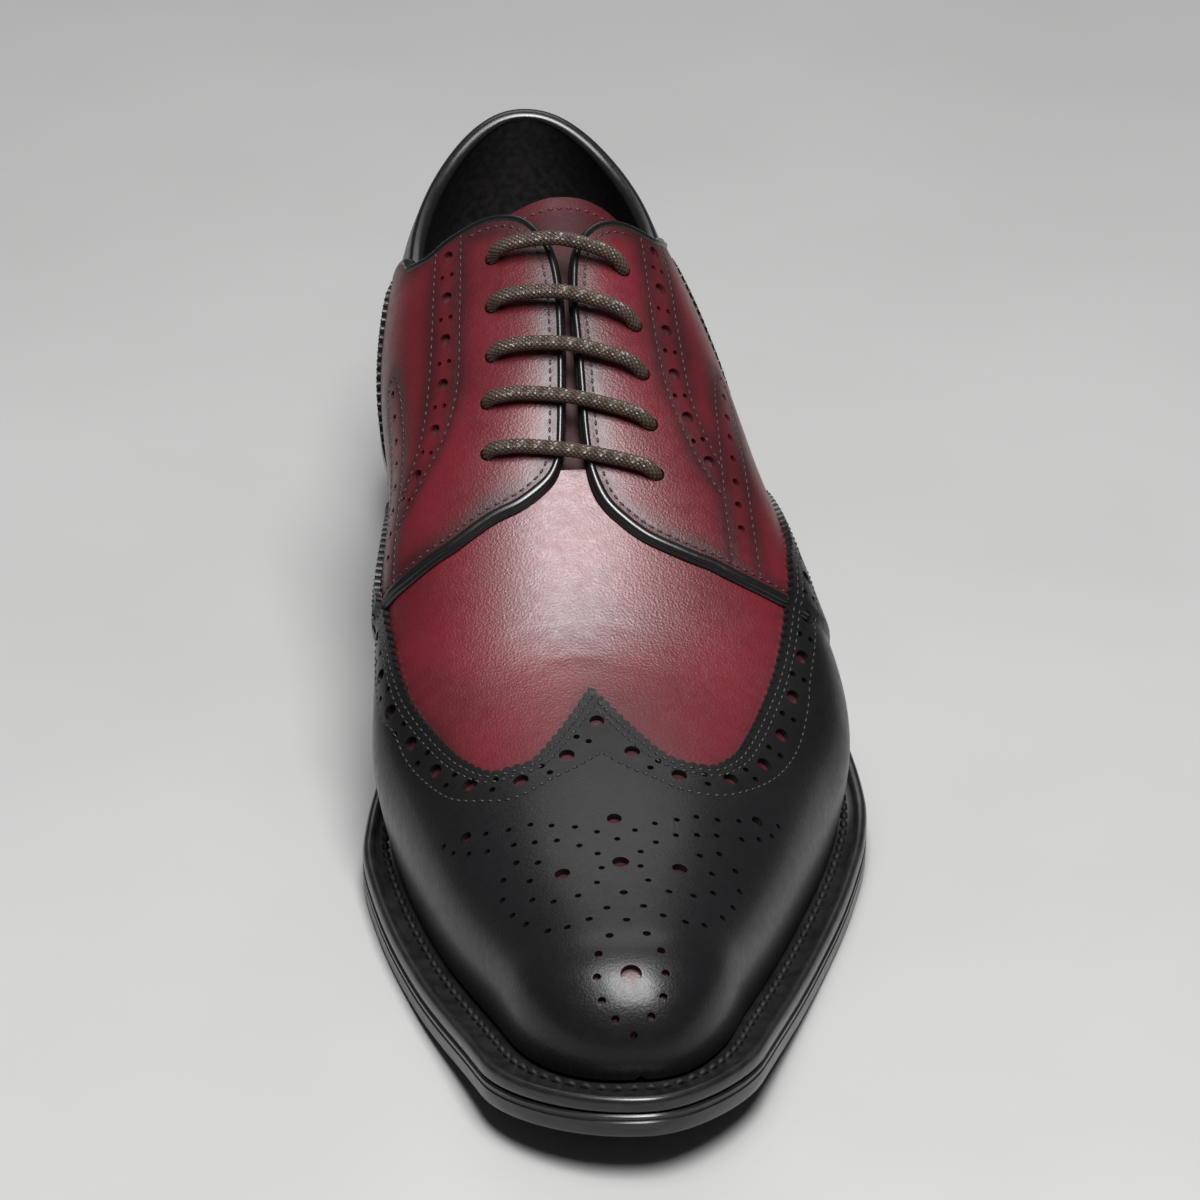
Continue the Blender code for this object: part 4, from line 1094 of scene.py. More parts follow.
def build_counter(side):
    """One half of the heel counter, which meets the other at the back seam."""
    line = rounded(np.array(COUNTER_LATERAL if side == LATERAL else COUNTER_MEDIAL))
    line[0, 1] = CHART.top_offset(line[0, 0], side)
    line[-1, 1] = side * CHART.girth(line[-1, 0], side)
    if side == LATERAL:
        teeth = pinked(line[::-1])[::-1]
    else:
        teeth = pinked(line)
    collar = top_line(side, line[0][0], 0.999985, 110)[::-1]
    back = np.stack([np.full(40, BACK),
                     np.linspace(collar[0][1], side * CHART.girth(BACK, side), 40)], axis=1)
    feet = feather_line(side, line[-1][0], BACK, 160)
    outline = joined(teeth, feet[1:], back[::-1][1:], collar[:-1])
    panel = Panel(outline, 0.0021)

    def row_at(distance):
        row = beside(line, side * distance)
        reach = np.abs(row[:, 1])
        inside_ends = ((reach > np.abs([CHART.top_offset(along, side) for along in row[:, 0]]) + 0.003)
                       & (reach < CHART.girth(row[:, 0], side) - 0.004))
        return row[inside_ends]

    panel.rows += [row_at(0.0012), row_at(0.0026), row_at(0.0094)]
    middle = row_at(0.0060)
    brogue_run(panel, middle, *BROGUE, start=0.004)
    tops = np.array([abs(CHART.top_offset(along, side)) for along in CHART.alongs[:-1]])
    low = LAP_RISE + 0.0001

    def outside(along, offset):
        below = np.abs(offset) - np.interp(along, CHART.alongs[:-1], tops)
        return low + COUNTER_THICK - (COUNTER_THICK - 0.0003) * np.exp(-(below / 0.004) ** 2)

    piece = panel.build("counter_" + by_side(side), lambda a, o: np.full(np.shape(a), low - 0.0001),
                        outside)
    return piece, panel.rows


def build_lining():
    """The lining as one closed shell from the toe to the back, open like the upper."""
    alongs = np.concatenate([np.linspace(0.003, 0.44, 50), np.linspace(0.445, 0.66, 70),
                             np.linspace(0.665, 0.99, 60), 1 - np.geomspace(0.008, 0.00002, 16)])
    shares = np.linspace(0, 1, 26)
    layers = {-WALL: [], -0.00105: []}
    for lift, verts in layers.items():
        for side in (LATERAL, MEDIAL):
            for along in alongs:
                top = abs(CHART.top_offset(along, side))
                if 0.46 < along < 0.664:
                    table = np.array(FACING_LATERAL if side == LATERAL else FACING_MEDIAL)
                    table = table[table[:, 0] > 0.49]
                    corner = float(np.interp(along, table[:, 0], np.abs(table[:, 1])))
                    top = max(top, corner + 0.0008)
                offsets = side * (top + shares * (CHART.girth(along, side) - top))
                offsets = np.where(np.abs(offsets) < 1e-9, side * 1e-9, offsets)
                verts += list(CHART.place(np.full(len(shares), along), offsets, lift)[0])
    rows = len(alongs)
    wide = len(shares)
    half = rows * wide
    faces = []
    for k in range(rows - 1):
        for n in range(wide - 1):
            a = k * wide + n
            faces.append((a, a + 1, a + wide + 1, a + wide))
            faces.append((half + a, half + a + wide, half + a + wide + 1, half + a + 1))
    last = (rows - 1) * wide
    for n in range(wide - 1):
        faces.append((last + n, last + n + 1, half + last + n + 1, half + last + n))
        faces.append((n, half + n, half + n + 1, n + 1))
    for k in range(int(np.sum(alongs < 0.46)) - 1):
        a = k * wide
        faces.append((a, a + wide, half + a + wide, half + a))
    points = layers[-WALL] + layers[-0.00105]
    size = len(layers[-WALL])
    polygons = faces + [tuple(v + size for v in face[::-1]) for face in faces]
    directed = {(face[k], face[(k + 1) % 4]) for face in faces for k in range(4)}
    for a, b in directed:
        if (b, a) not in directed:
            polygons.append((b, a, a + size, b + size))
    return smooth_mesh("lining", points, polygons, 0.9)


def build_tongue():
    """The tongue with a broad rounded top and a stitched row below it; painted shade darkens it in the
    slit.
    """
    sides = np.linspace(TONGUE_FRONT + 0.006, TONGUE_TOP - 0.0135, 60)
    right = np.stack([sides, np.full(len(sides), TONGUE_HALF)], axis=1)
    turn = np.linspace(0, math.pi, 60)
    bow = np.abs(np.cos(turn)) ** 0.75 * np.sign(np.cos(turn))
    arch = np.stack([TONGUE_TOP - 0.012 + 0.0100 * np.sin(turn) ** 0.8, TONGUE_HALF * bow], axis=1)
    loop = joined(right, arch, right[::-1] * (1, -1))
    panel = Panel(resample(loop, 0.0013), 0.0018)
    seam = arch[8:-8] * (1, 0.86) - (0.0085, 0)
    panel.rows.append(resample(seam, 0.001))

    def face(along, offset):
        free = smooth_step(TONGUE_SEWN, TONGUE_FREE, along)
        raised = 0.0016 * smooth_step(0.60, 0.65, along)
        return raised - (WALL + LEATHER_GAP + (TONGUE_GAP - LEATHER_GAP) * free)

    piece = panel.build("tongue_leather", lambda a, o: face(a, o) - TONGUE_THICK, face)
    shade = piece.data.attributes["seam"]
    along = np.concatenate([panel.places[0], panel.places[0]])
    values = np.zeros(len(along), np.float32)
    shade.data.foreach_get("value", values)
    # Painted shade: below its top the tongue, sunk in the slit between the facings, goes to the full
    # dark tone; the burnish along its edges and row is halved.
    values = np.maximum(values * 0.5, smooth_step(0.653, 0.636, along)).astype(np.float32)
    shade.data.foreach_set("value", values)
    return piece, panel.rows, face


def widths_along(line, narrow, broad):
    """A bead's width: narrow along the slit, broad along the flap."""
    share = smooth_step(0.478, 0.452, line[:, 0])
    return narrow + (broad - narrow) * share


def build_bindings():
    """Black rolled edges: from the flap up the slit to the top line, and round the collar."""
    pieces = []
    for side in (LATERAL, MEDIAL):
        name = by_side(side)
        edge, reach = quarter_edges(side)
        line = edge[2:reach + 1]
        wide = widths_along(line, 0.0015, 0.0021)
        tall = widths_along(line, 0.0017, 0.0016)
        row = beside(line, -side * wide * 0.35, steps=1)
        spots, outward = CHART.place(row[:, 0], row[:, 1], LAP_RISE - 0.0003)
        pieces.append(tube("rolled_edge_" + name, spots, outward, wide, tall))
        under = beside(line, -side * wide * 0.10, steps=1)
        spots, outward = CHART.place(under[:, 0], under[:, 1],
                                     0.00025 - 0.0007 * smooth_step(0.452, 0.478, line[:, 0]))
        pieces.append(tube("edge_welt_" + name, spots, outward, wide * 1.05, tall * 0.95))
    collar = []
    for side in (LATERAL, MEDIAL):
        ends = 1 - np.geomspace(0.03, 0.00001, 30)
        front = np.linspace(0.6685, 0.97, 240)
        line = np.concatenate([top_line(side, along, along, 1)
                               for along in np.concatenate([front, ends[1:]])])
        line = resample(line, 0.0014)
        line = line if side == LATERAL else line[::-1]
        collar.append(CHART.place(line[:, 0], line[:, 1], -0.0003))
    spots = np.concatenate([collar[0][0], collar[1][0]])
    outward = np.concatenate([collar[0][1], collar[1][1]])
    pieces.append(tube("collar_binding", spots, outward, 0.0021, 0.0033, sides=18))
    return pieces


def lace_route():
    """Places along the lace: share of the length, distance from the ridge, lift, flatness."""
    over = LAP_RISE + LACE_LIFT + CORD_THICK / 2
    under = -WALL - TONGUE_GAP / 2
    places = []
    side = MEDIAL
    for row in range(len(EYELETS)):
        along, near = hole_place(row, side)
        far_along, far = hole_place(row, -side)
        if row == 0:
            places += [(along - 0.010, near, under, 1.0), (along - 0.0035, near, under, 0.9)]
        places += [(along, near, under * 0.50, 0.0), (along, near, 0.0, 0.0),
                   (along, near * 0.94, over * 0.66, 0.0)]
        for share in (0.1, 0.24, 0.5, 0.76, 0.9):
            bow = LACE_BOW[row] * math.sin(math.pi * share)
            places.append((along + (far_along - along) * share, near + (far - near) * share,
                           over + bow, 0.0))
        places += [(far_along, far * 0.94, over * 0.66, 0.0), (far_along, far, 0.0, 0.0),
                   (far_along, far, under * 0.50, 0.0)]
        side = -side
        if row + 1 < len(EYELETS):
            next_along, next_offset = hole_place(row + 1, side)
            for share in (0.14, 0.38, 0.62, 0.86):
                places.append((far_along + (next_along - far_along) * share,
                               far + (next_offset - far) * share, under,
                               0.9 if share in (0.14, 0.86) else 1.0))
        else:
            places += [(far_along + 0.0035, far, under, 0.9), (far_along + 0.010, far, under, 1.0)]
    return places


def cord_rows():
    """The lace's centre line with its outward directions and its flatness."""
    rows = []
    for along, offset, lift, flat in lace_route():
        spot, outward = CHART.place(np.array([along]), np.array([offset]), lift)
        rows.append(np.concatenate([spot[0], outward[0], [flat]]))
    return rounded(np.array(rows), 30)


def build_lace():
    """A round braided cord: its strands cross over and under each other."""
    rows = cord_rows()
    length = run_lengths(rows[:, :3])
    count = int(length[-1] / 0.00030)
    at = np.linspace(0, length[-1], count)
    rows = np.stack([np.interp(at, length, rows[:, k]) for k in range(7)], axis=1)
    centres = rows[:, :3]
    ahead = units(np.gradient(centres, axis=0))
    sides = 36
    angles = 2 * np.pi * np.arange(sides) / sides
    across = np.array([0.0, 1.0, 0.0])
    verts = np.zeros((count, sides, 3))
    strand = np.zeros((count, sides))
    strands = 9
    thick = bpy.context.scene.shoe_sizes.cord
    for k in range(count):
        across = across - ahead[k] * np.dot(across, ahead[k])
        across = across / np.linalg.norm(across)
        up = np.cross(ahead[k], across)
        normal = rows[k, 3:6] / np.linalg.norm(rows[k, 3:6])
        press = 1 + (LACE_FLAT / thick - 1) * min(max(rows[k, 6], 0), 1)
        turn = at[k] * 2 * np.pi / CORD_PITCH
        one = (strands * angles + turn) / 2
        two = (strands * angles - turn) / 2
        strand[k] = np.abs(np.sin(one) * np.sin(two))
        bump = 0.94 + 0.09 * strand[k] ** 0.5
        spokes = (np.cos(angles)[:, None] * across + np.sin(angles)[:, None] * up)
        spokes = spokes * (bump * thick / 2)[:, None]
        spokes = spokes + normal * (spokes @ normal)[:, None] * (press - 1)
        verts[k] = centres[k] + spokes
    piece = smooth_mesh("lace_cord", verts.reshape(-1, 3), ring_faces(count, sides))
    # The strand pattern shapes the cord and, in its material, places painted shade in the gaps.
    layer = piece.data.attributes.new("strand", "FLOAT", "POINT")
    layer.data.foreach_set("value", strand.reshape(-1).astype(np.float32))
    return piece


def sole_loop():
    """Plan of the sole as a closed loop from the toe along the lateral side."""
    share = np.linspace(0, 1, 420)
    share = 0.5 - 0.5 * np.cos(np.pi * share)
    lateral = np.stack([sole_half(share, LATERAL), (share - 0.5) * SOLE_LENGTH], axis=1)
    medial = np.stack([-sole_half(share, MEDIAL), (share - 0.5) * SOLE_LENGTH], axis=1)
    closed = np.concatenate([lateral, medial[::-1][1:-1], lateral[:1]])
    length = run_lengths(closed)
    at = np.linspace(0, length[-1], 640, endpoint=False)
    return np.stack([np.interp(at, length, closed[:, k]) for k in (0, 1)], axis=1)


def sole_outline():
    """The sole's plan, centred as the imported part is."""
    return sole_loop() + (ACROSS, 0.0)


def plan_inward(plan):
    """Directions into a closed plan at each of its points."""
    ahead = units(np.roll(plan, -1, axis=0) - np.roll(plan, 1, axis=0))
    return np.stack([-ahead[:, 1], ahead[:, 0]], axis=1)


def sweep_profile(plan, profile, close_ends=True):
    """A profile of (inward distance, height) carried round a plan, above the arched underside."""
    inward = plan_inward(plan)
    verts = []
    for distance, height in profile:
        flat = plan + inward * np.asarray(distance).reshape(-1, 1)
        verts += list(np.column_stack([flat, underside(flat[:, 1]) + np.asarray(height)]))
    faces = ring_faces(len(profile), len(plan), around=close_ends)
    return verts, faces if close_ends else faces[:-2]


def capped(polygons, count, level_low, level_high):
    """Faces across the first and the last loop, in strips from the toe back."""
    for base in (level_low * count, level_high * count):
        half = count // 2
        polygons.append((base, base + 1, base + count - 1))
        for k in range(1, half):
            a, b = base + k, base + k + 1
            c, d = base + count - k - 1, base + count - k
            if b == c:
                polygons.append((a, b, d))
            else:
                polygons.append((a, b, c, d))
    return polygons


def ledge_at(plan):
    """How far the skin's foot lies inside the sole's outline, for each point of the plan."""
    feet = np.concatenate([feather_line(LATERAL, 0.0005, 0.9995, 400),
                           feather_line(MEDIAL, 0.9995, 0.0005, 400)])
    spots, _ = CHART.place(feet[:, 0], feet[:, 1])
    tree = tree_of(spots[:, :2])
    return distances(plan, tree)


def build_welt(sizes):
    """Welt with a smooth rounded rim and a sunk channel for its stitches."""
    plan = sole_outline()
    ledge = ledge_at(plan)
    inner = ledge + 0.0012
    rim = np.minimum(0.0024, ledge * 0.42)
    low = OUTSOLE_THICK + SEAT_GAP
    top = OUTSOLE_THICK + WELT_THICK
    profile = [
        (0.00050 + 0 * rim, low), (0.00012 + 0 * rim, low + 0.0004), (0.0 * rim, low + 0.0010),
        (0.0 * rim, top - 0.0013), (0.00018 + 0 * rim, top - 0.0006), (0.00060 + 0 * rim, top - 0.00015),
        (rim * 0.5, top), (rim * 0.85, top - 0.0001), (rim, top - 0.00055),
        (rim + 0.0004, top - 0.0008), (inner - 0.0018, top - 0.0008), (inner - 0.0011, top - 0.0003),
        (inner, top - 0.0003), (inner, low),
    ]
    verts, polygons = sweep_profile(plan, profile)
    piece = smooth_mesh("welt_leather", verts, polygons, 0.9)
    middle = plan + plan_inward(plan) * ((rim + 0.0004 + inner - 0.0018) / 2)[:, None]
    closed = np.concatenate([middle, middle[:1]])
    length = run_lengths(closed)
    count = int(length[-1] / sizes.welt_stitch)
    at = np.linspace(0, length[-1], count + 1)
    line = np.stack([np.interp(at, length, closed[:, k]) for k in (0, 1)], axis=1)
    spots = np.column_stack([line, underside(line[:, 1]) + top - 0.0007])
    upward = np.tile([0.0, 0.0, 1.0], (len(spots), 1))
    thread = stitches("welt_stitches", [(spots, upward)], sizes.welt_thread, fill=0.90)
    return piece, thread


def build_outsole():
    """The outsole with a rounded, grooved edge."""
    plan = sole_outline()
    one = np.ones(len(plan))
    profile = [
        (0.0022 * one, 0.0), (0.0011 * one, 0.0), (0.00035 * one, 0.0003), (0.00005 * one, 0.0009),
        (0.0 * one, 0.0022), (0.0 * one, 0.0034), (0.00028 * one, 0.0037), (0.00028 * one, 0.0039),
        (0.0 * one, 0.0042), (0.0 * one, 0.0048), (0.00045 * one, OUTSOLE_THICK),
        (0.0030 * one, OUTSOLE_THICK),
    ]
    verts, polygons = sweep_profile(plan, profile, close_ends=False)
    capped(polygons, len(plan), 0, len(profile) - 1)
    return smooth_mesh("outsole_leather", verts, polygons, 0.6)


def heel_outline():
    """Plan of the heel, with a straight breast in front."""
    share = 1 - (1 - HEEL_BREAST) * (1 - np.linspace(0, 1, 150)) ** 1.8
    lateral = np.stack([sole_half(share, LATERAL), (share - 0.5) * SOLE_LENGTH], axis=1)
    medial = np.stack([-sole_half(share, MEDIAL), (share - 0.5) * SOLE_LENGTH], axis=1)
    loop = np.concatenate([lateral, medial[::-1][1:]])
    loop[:, 0] += ACROSS
    return loop


def heel_inward(plan):
    """Directions into the heel's plan, straight back along its breast."""
    ahead = np.gradient(plan, axis=0)
    ahead[0], ahead[-1] = (0.0, 1.0), (0.0, -1.0)
    ahead = units(ahead)
    return np.stack([-ahead[:, 1], ahead[:, 0]], axis=1)


def heel_solid(name, levels):
    """Loops of the heel's plan, each drawn in by its own distance."""
    plan = heel_outline()
    inward = heel_inward(plan)
    count = len(plan)
    verts = []
    for distance, height in levels:
        flat = plan + inward * distance
        z = underside(flat[:, 1]) - SEAT_GAP if height is None else np.full(count, height)
        verts += list(np.column_stack([flat, z]))
    polygons = ring_faces(len(levels), count)[:-2]
    for base in (0, (len(levels) - 1) * count):
        for k in range(count // 2):
            a, b = base + k, base + k + 1
            c, d = base + count - 2 - k, base + count - 1 - k
            polygons.append((a, b, d) if b >= c else (a, b, c, d))
    return smooth_mesh(name, verts, polygons, 0.6)


def heel_taper(height):
    """How far the heel is drawn in at a height over the floor."""
    return EDGE_BEVEL * 0.5 + HEEL_TAPER * (1 - height / ARCHES[-1].height)


def build_top_piece():
    """The rubber under the heel: a disk shaped to the heel's plan, extruded and bevelled."""
    plan = heel_outline()
    plan = plan + heel_inward(plan) * heel_taper(0.0)
    bpy.ops.object.select_all(action="DESELECT")
    bpy.ops.mesh.primitive_circle_add(vertices=len(plan), radius=1.0, fill_type="NGON",
                                      location=(0, 0, 0))
    piece = bpy.context.object
    piece.name = "heel_rubber"
    for vertex, spot in zip(piece.data.vertices, plan):
        vertex.co = (*spot, 0.0)
    bpy.ops.object.mode_set(mode="EDIT")
    bpy.ops.mesh.select_all(action="SELECT")
    bpy.ops.mesh.extrude_region_move(TRANSFORM_OT_translate={"value": (0, 0, TOP_PIECE_THICK)})
    bpy.ops.mesh.select_all(action="SELECT")
    bpy.ops.mesh.normals_make_consistent(inside=False)
    bpy.ops.object.mode_set(mode="OBJECT")
    rounding = piece.modifiers.new("rounding", "BEVEL")
    rounding.width = EDGE_BEVEL * 0.7
    rounding.segments = 3
    rounding.limit_method = "ANGLE"
    bpy.ops.object.modifier_apply(modifier=rounding.name)
    bpy.ops.object.shade_smooth_by_angle(angle=0.6)
    return piece


def build_heel():
    """The stack of lifts with its grooves, and the rubber top piece."""
    low = TOP_PIECE_THICK + SEAT_GAP
    high = ARCHES[-3].height - SEAT_GAP - LIFT_GROOVE
    lift = (high - low) / HEEL_LIFTS
    groove = LIFT_GROOVE
    levels = [(heel_taper(low) + groove, low), (heel_taper(low), low + groove)]
    for k in range(1, HEEL_LIFTS):
        joint = low + k * lift
        levels += [(heel_taper(joint), joint - groove), (heel_taper(joint) + groove, joint),
                   (heel_taper(joint), joint + groove)]
    levels.append((heel_taper(high), None))
    stack = heel_solid("heel_lifts", levels)
    return stack, build_top_piece()


MIDDLE = sole_loop()[:, 0]
ACROSS = -float(MIDDLE.max() + MIDDLE.min()) / 2
CHART = Chart()


def add_group(name, inputs, outputs):
    """An empty shader node group with the named sockets."""
    group = bpy.data.node_groups.new(name, "ShaderNodeTree")
    for label, kind, value in inputs:
        socket = group.interface.new_socket(label, in_out="INPUT", socket_type="NodeSocket" + kind)
        socket.default_value = value
    for label, kind in outputs:
        group.interface.new_socket(label, in_out="OUTPUT", socket_type="NodeSocket" + kind)
    return group


class Wiring:
    """Adds nodes to a tree and joins them; a value that isn't a socket is set on the input."""

    def __init__(self, tree):
        self.tree = tree

    def add(self, kind, inputs=(), **settings):
        node = self.tree.nodes.new(kind)
        for key, value in settings.items():
            setattr(node, key, value)
        for key, value in dict(inputs).items():
            socket = node.inputs[key]
            if isinstance(value, bpy.types.NodeSocket):
                self.tree.links.new(value, socket)
            else:
                socket.default_value = value
        return node

    def noise(self, where, scale, detail=3.0):
        return self.add("ShaderNodeTexNoise",
                        {"Vector": where, "Scale": scale, "Detail": detail}).outputs["Fac"]

    def stretch(self, value, low, high, start=0.0, stop=1.0):
        return self.add("ShaderNodeMapRange",
                        {"Value": value, "From Min": low, "From Max": high, "To Min": start,
                         "To Max": stop}).outputs["Result"]

    def mix(self, share, first, second):
        return self.add("ShaderNodeMix", {0: share, 6: first, 7: second}, data_type="RGBA").outputs[2]

    def math(self, operation, first, second, clamp=False):
        return self.add("ShaderNodeMath", {0: first, 1: second}, operation=operation,
                        use_clamp=clamp).outputs[0]

    def attribute(self, name):
        return self.add("ShaderNodeAttribute", attribute_name=name).outputs["Fac"]


def leather_group():
    """Burnished leather: pebbled grain, darker along seams and where painted shade is given, slow
    changes of colour.
    """
    group = add_group("Burnished leather",
                      (("Light", "Color", (0.1, 0.1, 0.1, 1)), ("Dark", "Color", (0, 0, 0, 1)),
                       ("Pebbles", "Float", 1700.0), ("Seam Shade", "Float", 0.6),
                       ("Clouds", "Float", 0.5), ("Roughness", "Float", 0.4)),
                      (("Color", "Color"), ("Roughness", "Float"), ("Height", "Float")))
    wires = Wiring(group)
    given = wires.add("NodeGroupInput").outputs
    where = wires.add("ShaderNodeTexCoord").outputs["Object"]
    cells = wires.add("ShaderNodeTexVoronoi", {"Vector": where, "Scale": given["Pebbles"],
                                               "Smoothness": 0.35}, feature="SMOOTH_F1")
    pebbles = cells.outputs["Distance"]
    height = wires.math("ADD", pebbles, wires.noise(where, 3400.0))
    # The seam attribute: burnish along seams and edges, and painted shade on the vamp under the wing cap
    # and on the tongue in the slit.
    seam = wires.math("MULTIPLY", wires.attribute("seam"), given["Seam Shade"])
    cloud = wires.math("MULTIPLY", wires.stretch(wires.noise(where, 38.0), 0.42, 0.72),
                       given["Clouds"])
    tone = wires.mix(wires.math("ADD", seam, cloud, clamp=True), given["Light"], given["Dark"])
    tone = wires.mix(wires.stretch(pebbles, 0.1, 0.75, 0.22, 0.0), tone, given["Dark"])
    gloss = wires.math("ADD", given["Roughness"],
                       wires.stretch(wires.noise(where, 420.0), 0.3, 0.7, -0.04, 0.05))
    gloss = wires.math("ADD", gloss, wires.math("MULTIPLY", seam, 0.1))
    wires.add("NodeGroupOutput", {"Color": tone, "Roughness": gloss, "Height": height})
    return group


def mottle_group():
    """Two tones in a noise, with a roughness that follows it."""
    group = add_group("Mottled surface",
                      (("Light", "Color", (0.1, 0.1, 0.1, 1)), ("Dark", "Color", (0, 0, 0, 1)),
                       ("Scale", "Float", 300.0), ("Upright", "Float", 1.0),
                       ("Roughness", "Float", 0.4)),
                      (("Color", "Color"), ("Roughness", "Float"), ("Height", "Float")))
    wires = Wiring(group)
    given = wires.add("NodeGroupInput").outputs
    where = wires.add("ShaderNodeTexCoord").outputs["Object"]
    axes = wires.add("ShaderNodeCombineXYZ", {"X": 1.0, "Y": 1.0, "Z": given["Upright"]})
    placed = wires.add("ShaderNodeMapping", {"Vector": where, "Scale": axes.outputs[0]})
    spread = wires.noise(placed.outputs[0], given["Scale"], 5.0)
    tone = wires.mix(wires.stretch(spread, 0.35, 0.65), given["Light"], given["Dark"])
    gloss = wires.math("ADD", given["Roughness"], wires.stretch(spread, 0.3, 0.7, -0.05, 0.06))
    wires.add("NodeGroupOutput", {"Color": tone, "Roughness": gloss, "Height": spread})
    return group


# Finishes: how each surface sets its node group, its gloss and the depth of its grain in metres
Finish = namedtuple("Finish", "group values shine coat coat_roughness grain")
LEATHER, MOTTLE = "Burnished leather", "Mottled surface"
FINISHES = {
    "burgundy_calf": Finish(LEATHER, {"Light": "burgundy", "Dark": "burnish", "Pebbles": 1900.0,
                                      "Seam Shade": 0.85, "Clouds": 0.5, "Roughness": 0.36},
                            0.45, 0.14, 0.22, 0.00008),
    "black_calf": Finish(LEATHER, {"Light": "black", "Dark": "deep_black", "Pebbles": 1700.0,
                                   "Seam Shade": 0.5, "Clouds": 0.6, "Roughness": 0.36},
                         0.27, 0.18, 0.22, 0.00006),
    # The tongue's leather: the burgundy with the seam attribute's darkening at full strength, for the
    # painted shade in the slit.
    "tongue_calf": Finish(LEATHER, {"Light": "burgundy", "Dark": "burnish", "Pebbles": 1900.0,
                                    "Seam Shade": 1.0, "Clouds": 0.5, "Roughness": 0.46},
                          0.20, 0.0, 0.2, 0.00006),
    "rolled_edge": Finish(MOTTLE, {"Light": "black", "Dark": "deep_black", "Scale": 500.0,
                                   "Roughness": 0.26}, 0.5, 0.2, 0.2, 0.00001),
    "dark_thread": Finish(MOTTLE, {"Light": "thread", "Dark": "deep_black", "Scale": 1800.0,
                                   "Roughness": 0.42}, 0.5, 0.0, 0.2, 0.00004),
    "wine_thread": Finish(MOTTLE, {"Light": "wine_thread", "Dark": "burnish", "Scale": 420.0,
                                   "Roughness": 0.45}, 0.5, 0.0, 0.2, 0.00004),
    "welt_thread": Finish(MOTTLE, {"Light": "sole_edge", "Dark": "deep_black", "Scale": 900.0,
                                   "Roughness": 0.6}, 0.25, 0.0, 0.2, 0.00004),
    "lining": Finish(MOTTLE, {"Light": "lining", "Dark": "deep_black", "Scale": 600.0,
                              "Roughness": 0.55}, 0.5, 0.0, 0.2, 0.00004),
    "backing": Finish(MOTTLE, {"Light": "backing", "Dark": "burnish", "Scale": 300.0,
                               "Roughness": 0.5}, 0.4, 0.0, 0.2, 0.00004),
    "sole_edge": Finish(MOTTLE, {"Light": "sole_edge", "Dark": "deep_black", "Scale": 240.0,
                                 "Upright": 6.0, "Roughness": 0.33}, 0.5, 0.2, 0.2, 0.00004),
    "heel_lift": Finish(MOTTLE, {"Light": "sole_edge", "Dark": "black", "Scale": 240.0,
                                 "Upright": 8.0, "Roughness": 0.36}, 0.5, 0.2, 0.2, 0.00004),
    "heel_rubber": Finish(MOTTLE, {"Light": "rubber", "Dark": "black", "Scale": 700.0,
                                   "Roughness": 0.62}, 0.4, 0.0, 0.2, 0.00005),
    "pale_floor": Finish(MOTTLE, {"Light": "floor", "Dark": "floor_shade", "Scale": 9.0,
                                  "Roughness": 0.6}, 0.3, 0.0, 0.2, 0.0001),
}


def colour(name):
    """A colour of the property group, with full alpha."""
    return (*getattr(bpy.context.scene.shoe_colours, name), 1.0)


def finish(name):
    """The material of a finish, made when it is first asked for."""
    if name in bpy.data.materials:
        return bpy.data.materials[name]
    row = FINISHES[name]
    material = bpy.data.materials.new(name)
    material.use_nodes = True
    wires = Wiring(material.node_tree)
    shader = material.node_tree.nodes["Principled BSDF"]
    maker = leather_group if row.group == LEATHER else mottle_group
    group = bpy.data.node_groups.get(row.group) or maker()
    values = {key: colour(value) if isinstance(value, str) else value
              for key, value in row.values.items()}
    surface = wires.add("ShaderNodeGroup", node_tree=group)
    for key, value in values.items():
        surface.inputs[key].default_value = value
    bump = wires.add("ShaderNodeBump", {"Height": surface.outputs["Height"], "Strength": 0.55,
                                        "Distance": row.grain})
    for source, target in ((surface.outputs["Color"], "Base Color"),
                           (surface.outputs["Roughness"], "Roughness"),
                           (bump.outputs["Normal"], "Normal")):
        material.node_tree.links.new(source, shader.inputs[target])
    shader.inputs["Specular IOR Level"].default_value = row.shine
    shader.inputs["Coat Weight"].default_value = row.coat
    shader.inputs["Coat Roughness"].default_value = row.coat_roughness
    return material


def cord_finish():
    """Waxed cord: light on the strands, with painted shade in the gaps between them."""
    material = bpy.data.materials.new("waxed_cord")
    material.use_nodes = True
    wires = Wiring(material.node_tree)
    shader = material.node_tree.nodes["Principled BSDF"]
    strand = wires.attribute("strand")
    where = wires.add("ShaderNodeTexCoord").outputs["Object"]
    tone = wires.mix(wires.stretch(wires.noise(where, 160.0), 0.35, 0.65, 0.0, 0.6),
                     colour("cord"), colour("cord_shade"))
    # Painted shade in the gaps between the strands, following the strand pattern.
    tone = wires.mix(wires.stretch(strand, 0.08, 0.62), colour("cord_gap_painted_shade"), tone)
    bump = wires.add("ShaderNodeBump", {"Height": strand, "Strength": 0.8, "Distance": 0.0003})
    material.node_tree.links.new(tone, shader.inputs["Base Color"])
    material.node_tree.links.new(bump.outputs["Normal"], shader.inputs["Normal"])
    shader.inputs["Roughness"].default_value = 0.34
    return material


def dress(piece, material, slot, *nodes):
    """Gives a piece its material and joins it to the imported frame."""
    piece.data.materials.clear()
    piece.data.materials.append(material)
    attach(piece, "root")
    if nodes:
        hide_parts(*nodes)


def sew(name, material, slot, rows, pitch, lift):
    """The stitches of several rows as one piece."""
    sizes = bpy.context.scene.shoe_sizes
    runs = [run_of(row, pitch, lift) for row in rows]
    dress(stitches(name, runs, sizes.thread), finish(material), slot)


def level(height):
    """The same lift everywhere."""
    return lambda along, offset: np.full(np.shape(along), height)


